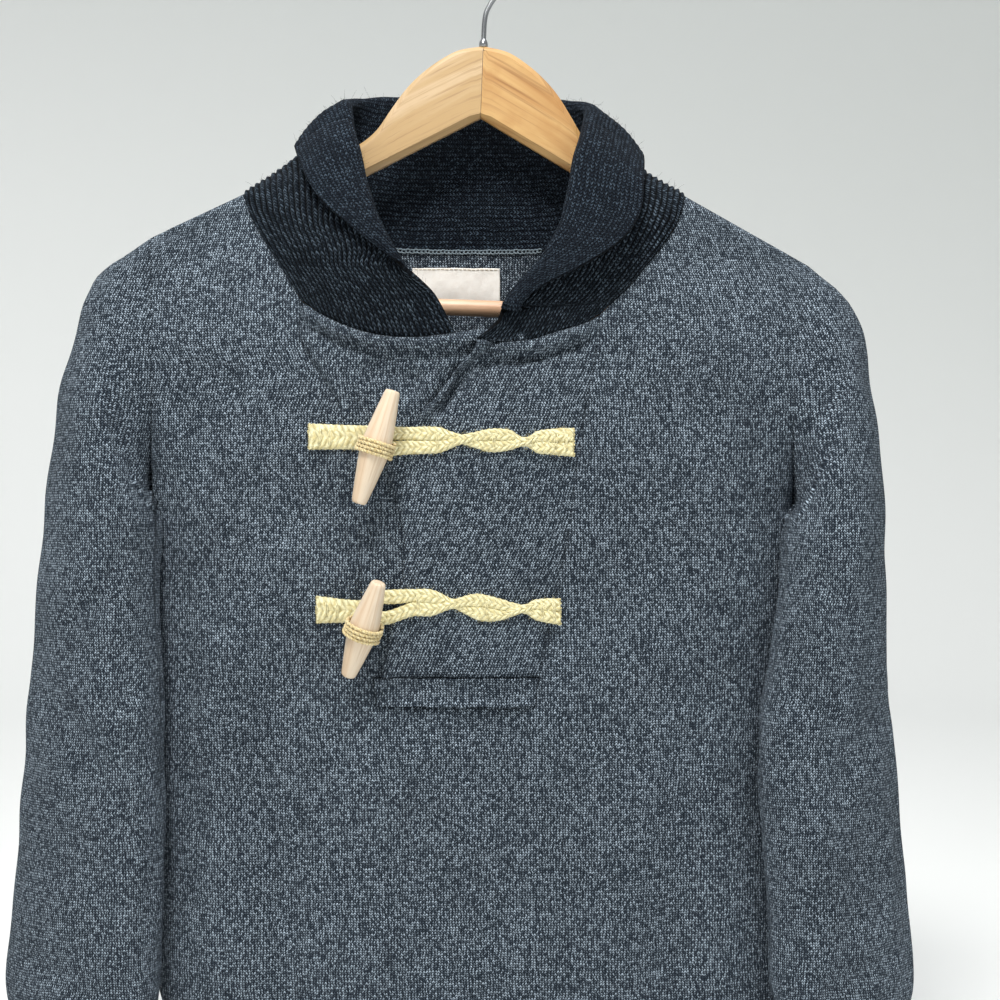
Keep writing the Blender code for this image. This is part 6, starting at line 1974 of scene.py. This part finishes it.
@dataclass(frozen=True)
class KnitFinish:
    """Marled knit: leaning stitches in upright wales, flecked from stitch to stitch, with painted shade in
    the hollows between the stitches and, where groove_shade is set, between the ribs.
    """

    name: str
    dark: Triple
    ground: Triple
    light: Triple
    wale: float
    course: float
    lean: float = 0.75
    fleck: Pair = (0.4, 0.8)
    relief: float = 0.0008
    strength: float = 0.9
    # groove_shade: painted shade, how much darker the colour gets towards the edges of each wale, in the
    # hollows between ribs.
    groove_shade: float = 0.0
    sheen: float = 0.06
    fibre_scale: float = 2300.0
    patch_scale: float = 330.0
    wander: float = 0.003
    stitch_share: float = 0.36
    fibre_share: float = 0.66
    patch_share: float = 0.14
    height_share: float = 0.36
    fleck_shift: float = 0.25
    # shade: painted shade of the stitch relief. The colour is scaled by stitch height times the first value
    # plus the second.
    shade: Pair = (1.0, 0.24)

    def make(self) -> Material:
        """Makes the material."""
        g = Graph.new(self.name)
        u, v = g.cloth_uv()
        place = g.join(u, v)
        half = self.wander / 2
        u = g.math("ADD", u, g.math("MULTIPLY_ADD", g.noise(place, 55.0), self.wander, -half))
        v = g.math("ADD", v, g.math("MULTIPLY_ADD", g.noise(g.join(v, u), 60.0), self.wander, -half))
        across, along = g.math("DIVIDE", u, self.wale), g.math("DIVIDE", v, self.course)
        off = g.math("ABSOLUTE", g.math("MULTIPLY_ADD", g.math("FRACT", across), 2.0, -1.0))
        slant = g.math("MULTIPLY_ADD", off, self.lean, along)
        swing = g.math("MULTIPLY_ADD", g.math("FRACT", slant), 2.0, -1.0)
        leg = g.math("SUBTRACT", 1.0, g.math("POWER", g.math("ABSOLUTE", swing), 2.0))
        valley = g.math("SUBTRACT", 1.0, g.math("MULTIPLY", g.math("POWER", off, 4.0), 0.85))
        height = g.math("MULTIPLY", leg, valley)
        cell = g.join(g.math("FLOOR", g.math("MULTIPLY", across, 2.0)), g.math("FLOOR", slant))
        stitch = g.random(cell)
        fine = g.noise(place, self.fibre_scale, 2.0)
        patch = g.noise(g.join(g.math("MULTIPLY", u, 0.45), v, 3.0), self.patch_scale, 2.0)
        total = g.math("MULTIPLY", fine, self.fibre_share)
        total = g.math("MULTIPLY_ADD", stitch, self.stitch_share, total)
        total = g.math("MULTIPLY_ADD", patch, self.patch_share, total)
        total = g.math("MULTIPLY_ADD", height, self.height_share, total)
        share = g.span(total, self.fleck[0] + self.fleck_shift, self.fleck[1] + self.fleck_shift)
        base = g.blend(g.span(fine, 0.3, 0.62), (*self.dark, 1.0), (*self.ground, 1.0))
        colour = g.blend(share, base, (*self.light, 1.0))
        # Painted shade: the colour darkens where the stitch height is low, in the hollows between legs and
        # wales, and with groove_shade between the ribs; cloud then varies it at random.
        shade = g.math("MULTIPLY_ADD", height, *self.shade)
        if self.groove_shade:
            wide = g.math("SUBTRACT", 1.0, g.math("MULTIPLY", g.math("POWER", off, 3.0), self.groove_shade))
            shade = g.math("MULTIPLY", shade, wide)
        cloud = g.math("MULTIPLY_ADD", g.noise(place, 14.0, 3.0), 0.55, 0.74)
        shade = g.math("MULTIPLY", shade, cloud)
        grey = g.join(shade, shade, shade)
        g.link(g.blend(1.0, colour, grey, "MULTIPLY"), g.shader.inputs["Base Color"])
        g.bump(g.math("MULTIPLY_ADD", fine, 0.55, height), self.strength, self.relief)
        g.surface(Roughness=0.93, Specular_IOR_Level=0.12, Sheen_Weight=self.sheen, Sheen_Roughness=0.45)
        g.shader.inputs["Sheen Tint"].default_value = (0.55, 0.65, 0.78, 1.0)
        return g.material


@dataclass(frozen=True)
class WoodFinish:
    """Bare or lacquered wood with its grain along the piece."""

    name: str
    pale: Colour
    deep: Colour
    streak: Colour
    spacing: float
    shift: float = 0.0
    mottle: float = 0.35
    roughness: float = 0.42
    coat: float = 0.25

    def make(self) -> Material:
        """Makes the material."""
        g = Graph.new(self.name)
        u, v = g.cloth_uv()
        stretched = g.join(u, g.math("MULTIPLY", v, 0.07), self.shift)
        wide = g.noise(stretched, 1.0 / (self.spacing * 3.5), 3.0, 1.2)
        along = g.join(u, g.math("MULTIPLY", v, 0.035), self.shift + 2)
        fine = g.noise(along, 1.0 / (self.spacing * 0.42), 4.0, 0.3)
        along = g.join(u, g.math("MULTIPLY", v, 0.05), self.shift + 4)
        pore = g.noise(along, 1.0 / (self.spacing * 0.14), 2.0)
        cloud = g.noise(g.join(u, v, self.shift + 6), 38.0, 3.0, 0.4)
        colour = g.blend(g.span(wide, 0.38, 0.66), self.pale, self.deep)
        colour = g.blend(g.math("MULTIPLY", g.span(fine, 0.52, 0.72), 0.55), colour, self.streak)
        colour = g.blend(g.math("MULTIPLY", g.span(cloud, 0.45, 0.75), self.mottle), colour, self.deep)
        colour = g.blend(g.math("MULTIPLY", g.span(pore, 0.6, 0.78), 0.3), colour, self.streak)
        g.link(colour, g.shader.inputs["Base Color"])
        g.link(g.math("MULTIPLY_ADD", fine, 0.16, self.roughness - 0.08), g.shader.inputs["Roughness"])
        g.bump(g.math("MULTIPLY_ADD", pore, 0.6, fine), 0.18, 0.0004)
        g.surface(Coat_Weight=self.coat, Coat_Roughness=0.35)
        return g.material


@dataclass(frozen=True)
class BraidFinish:
    """Pale straw-coloured braid or twine, with painted shade that darkens it between its strands."""

    name: str
    pale: Colour
    deep: Colour
    pitch: float
    slant: float

    def make(self) -> Material:
        """Makes the material."""
        g = Graph.new(self.name)
        u, v = g.cloth_uv()
        off = g.math("ABSOLUTE", g.math("MULTIPLY_ADD", g.math("DIVIDE", v, 0.01), 2.0, -1.0))
        turn = g.math("MULTIPLY_ADD", off, self.slant, g.math("DIVIDE", u, self.pitch))
        strand = g.math("POWER", g.math("ABSOLUTE", g.math("SINE", g.math("MULTIPLY", turn, math.pi))), 0.6)
        strands = g.join(g.math("MULTIPLY", turn, 0.0012), g.math("MULTIPLY", v, 0.35))
        fibre = g.noise(strands, 1400.0, 3.0, 0.6)
        patch = g.noise(g.join(u, v), 130.0, 3.0)
        colour = g.blend(g.span(fibre, 0.35, 0.7), self.deep, self.pale)
        # Painted shade: the colour darkens in the hollows between strands; patch then varies it at random.
        shade = g.math("MULTIPLY_ADD", strand, 0.3, 0.7)
        shade = g.math("MULTIPLY", shade, g.math("MULTIPLY_ADD", patch, 0.36, 0.82))
        g.link(g.blend(1.0, colour, g.join(shade, shade, shade), "MULTIPLY"), g.shader.inputs["Base Color"])
        g.bump(g.math("MULTIPLY_ADD", fibre, 0.8, strand), 0.7, 0.0004)
        g.surface(Roughness=0.85, Specular_IOR_Level=0.2, Sheen_Weight=0.15, Sheen_Roughness=0.5)
        return g.material


@dataclass(frozen=True)
class WovenFinish:
    """A close plain weave, as on a label or a thread."""

    name: str
    pale: Colour
    deep: Colour
    pitch: float

    def make(self) -> Material:
        """Makes the material."""
        g = Graph.new(self.name)
        u, v = g.cloth_uv()
        warp = g.math("SINE", g.math("MULTIPLY", u, 2 * math.pi / self.pitch))
        weft = g.math("SINE", g.math("MULTIPLY", v, 2 * math.pi / self.pitch))
        weave = g.math("MULTIPLY_ADD", g.math("MULTIPLY", warp, weft), 0.5, 0.5)
        patch = g.noise(g.join(u, v), 210.0, 3.0)
        share = g.math("MULTIPLY_ADD", weave, 0.5, g.math("MULTIPLY", g.span(patch, 0.3, 0.7), 0.5))
        g.link(g.blend(share, self.deep, self.pale), g.shader.inputs["Base Color"])
        g.bump(weave, 0.5, 0.0002)
        g.surface(Roughness=0.8, Specular_IOR_Level=0.25)
        return g.material


@dataclass(frozen=True)
class SteelFinish:
    """Bright drawn wire."""

    name: str = "bright steel"

    def make(self) -> Material:
        """Makes the material."""
        g = Graph.new(self.name)
        u, v = g.cloth_uv()
        drawn = g.noise(g.join(g.math("MULTIPLY", u, 0.05), v), 900.0, 3.0)
        g.link(g.blend(drawn, rgb(120, 122, 126), rgb(176, 178, 180)), g.shader.inputs["Base Color"])
        g.link(g.math("MULTIPLY_ADD", drawn, 0.15, 0.2), g.shader.inputs["Roughness"])
        g.surface(Metallic=1.0)
        return g.material


# ---- studio ---------------------------------------------------------------------------------------
@dataclass(frozen=True)
class Lamp:
    """A soft square light: its place, width, watts and colour, and the point that it faces."""

    name: str
    place: Triple
    size: float
    power: float
    colour: Triple = (1.0, 1.0, 1.0)
    target: Triple = (0.0, 0.0, -0.42)

    def add(self) -> None:
        """Adds it to the scene."""
        data = bpy.data.lights.new(self.name, "AREA")
        data.shape, data.size, data.energy, data.color = "SQUARE", self.size, self.power, self.colour
        light = bpy.data.objects.new(self.name, data)
        bpy.context.scene.collection.objects.link(light)
        light.location = self.place
        aim = Vector(self.target) - Vector(self.place)
        light.rotation_euler = aim.to_track_quat("-Z", "Y").to_euler()


LAMPS = (
    Lamp("key_light", (-0.3, -1.0, 1.02), 0.42, 24.0, (1.0, 0.99, 0.97)),
    Lamp("fill_light", (1.4, -1.45, -0.4), 1.4, 4.0, (0.95, 0.98, 1.0)),
    Lamp("top_light", (0.15, -0.4, 1.45), 0.9, 16.0),
    Lamp("wall_light", (0.0, 1.2, 1.9), 1.8, 12.5, target=(0.0, 2.2, 1.1)),
)


@dataclass(frozen=True)
class Studio:
    """A pale round studio with a plain floor, soft lights and the camera at the photograph's place."""

    floor: float = -0.905
    radius: float = 3.2
    eye: Triple = (0.0094, -0.995, -0.4278)
    lens: float = 47.5
    sky: Colour = (0.98, 0.987, 1.0, 1.0)
    sky_strength: float = 0.54
    pale: Triple = (254, 255, 254)
    # painted_wall_shade: the painted shade high on the wall; pale is the colour low on the floor.
    painted_wall_shade: Triple = (209, 212, 210)

    def make_floor(self) -> None:
        """Makes the floor and the pale wall that it turns up into, far round the object, with painted shade
        that darkens them upwards and towards +X.
        """
        turn = around(96)
        arc = np.linspace(0, math.pi / 2, 13)
        profile = [(0.02, 0.0), (self.radius * 0.4, 0.0), (self.radius - 1.0, 0.0)]
        profile += [(self.radius - 1.0 + math.sin(a), 1 - math.cos(a)) for a in arc[1:]]
        profile += [(self.radius, 2.6)]
        rows = [stack(r * np.cos(turn), r * np.sin(turn), self.floor + z) for r, z in profile]
        grid = np.stack(rows)
        maker = MeshMaker()
        maker.add_grid(grid, np.zeros((len(profile), 97, 2)), closed=True)
        maker.add_cap(grid[0], flip=True)
        g = Graph.new("pale studio")
        place = g.node("ShaderNodeTexCoord").outputs["Object"]
        axes = g.node("ShaderNodeSeparateXYZ")
        g.link(place, axes.inputs[0])
        # Painted shade: the colour goes from pale low on the floor to painted_wall_shade high on the wall
        # and towards +X, as the light falls off.
        rise = g.math("MULTIPLY_ADD", axes.outputs["X"], 0.3, axes.outputs["Z"])
        painted_falloff = g.blend(g.span(rise, -1.4, 1.7), rgb(*self.pale), rgb(*self.painted_wall_shade))
        g.link(painted_falloff, g.shader.inputs["Base Color"])
        g.surface(Roughness=0.95, Specular_IOR_Level=0.1)
        floor = maker.make("studio_floor", [g.material])

    def build(self) -> None:
        """Makes floor, lights, sky and camera."""
        self.make_floor()
        for lamp in LAMPS:
            lamp.add()
        world = bpy.data.worlds.new("pale sky")
        world.use_nodes = True
        background = world.node_tree.nodes["Background"]
        background.inputs[0].default_value = self.sky
        background.inputs[1].default_value = self.sky_strength
        bpy.context.scene.world = world
        data = bpy.data.cameras.new("camera")
        data.lens, data.sensor_width = self.lens, 36.0
        camera = bpy.data.objects.new("camera", data)
        bpy.context.scene.collection.objects.link(camera)
        camera.location = self.eye
        camera.rotation_euler = (math.pi / 2, 0.0, 0.0)
        bpy.context.scene.camera = camera
        bpy.context.scene.view_settings.view_transform = "Standard"


# ---- the whole object -----------------------------------------------------------------------------
def toggles(
    wood: Material, braid: Material, twine: Material
) -> list[ToggleFastening]:
    """Both toggle fastenings.

    Args:
        wood: the toggles' finish.
        braid: the tabs' and loops' finish.
        twine: the wraps' finish.

    Returns:
        The upper and the lower one.
    """
    upper = ToggleFastening(
        "upper", wood, braid, twine, x=-0.0781, z=-0.3905, length=0.083, lean=17.1, tilt=2.0, off=0.0008,
        loop=UPPER_LOOP, tab=UPPER_TAB, crossings=(-0.0172, 0.027), split_end=-0.042,
    )  # fmt: skip
    lower = ToggleFastening(
        "lower", wood, braid, twine, x=-0.0868, z=-0.519, length=0.074, lean=19.2, tilt=15.0, off=0.0,
        loop=LOWER_LOOP, tab=LOWER_TAB, crossings=(-0.024, 0.0252), split_end=-0.056,
    )  # fmt: skip
    return [upper, lower]


def main() -> None:
    logging.basicConfig(level=logging.INFO, format="%(name)s: %(message)s")
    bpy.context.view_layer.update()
    # Each knit finish paints shade into its stitch hollows; the collar rib's groove_shade also paints shade
    # between its ribs.
    knit = KnitFinish(
        "body knit marl", (0.008, 0.013, 0.02), (0.036, 0.051, 0.072), (0.6, 0.72, 0.84),
        0.0021, 0.0018, fleck=(0.5, 1.02),
    ).make()  # fmt: skip
    rib = KnitFinish(
        "collar rib knit", (0.002, 0.004, 0.007), (0.01, 0.016, 0.025), (0.13, 0.176, 0.226),
        0.004, 0.003, lean=0.9, fleck=(0.52, 1.08), relief=0.0012, groove_shade=0.9, sheen=0.02,
    ).make()  # fmt: skip
    purl = KnitFinish(
        "collar inside knit", (0.002, 0.004, 0.007), (0.009, 0.014, 0.023), (0.086, 0.122, 0.164),
        0.0026, 0.0022, lean=0.7, fleck=(0.52, 1.14), relief=0.001, sheen=0.02,
    ).make()  # fmt: skip
    beech = WoodFinish(
        "toggle beech", rgb(230, 212, 188), rgb(222, 196, 166), rgb(200, 168, 134), 0.004, mottle=0.25,
        roughness=0.55, coat=0.0,
    ).make()  # fmt: skip
    left_wood = WoodFinish(
        "hanger wood pale", rgb(206, 178, 140), rgb(188, 155, 108), rgb(146, 110, 70), 0.0058, shift=1.3,
    ).make()  # fmt: skip
    right_wood = WoodFinish(
        "hanger wood amber", rgb(206, 166, 108), rgb(178, 128, 70), rgb(128, 80, 36), 0.0072, shift=8.1,
        mottle=0.55,
    ).make()  # fmt: skip
    bar_wood = WoodFinish(
        "bar wood", rgb(232, 192, 158), rgb(220, 174, 138), rgb(186, 138, 104), 0.0045, shift=4.4,
    ).make()  # fmt: skip
    braid = BraidFinish("straw braid", rgb(252, 246, 204), rgb(216, 202, 148), 0.0042, 0.95).make()
    twine = BraidFinish("straw twine", rgb(248, 232, 186), rgb(216, 192, 138), 0.0021, 0.0).make()
    label = WovenFinish("label weave", rgb(255, 252, 246), rgb(244, 238, 230), 0.00045).make()
    thread = WovenFinish("label thread", rgb(226, 214, 190), rgb(196, 182, 156), 0.0008).make()
    pale_thread = WovenFinish("grey thread", rgb(150, 164, 172), rgb(108, 122, 132), 0.0008).make()
    body = BodyPieces(knit, rib)
    body.build()
    Collar(body, rib, purl).build()
    Placket(body, knit).build()
    NeckLabel(label, thread, pale_thread).build()
    for fastening in toggles(beech, braid, twine):
        fastening.build()
    Hanger(left_wood, right_wood, bar_wood, SteelFinish().make()).build()
    Studio().build()


if __name__ == "__main__":
    main()
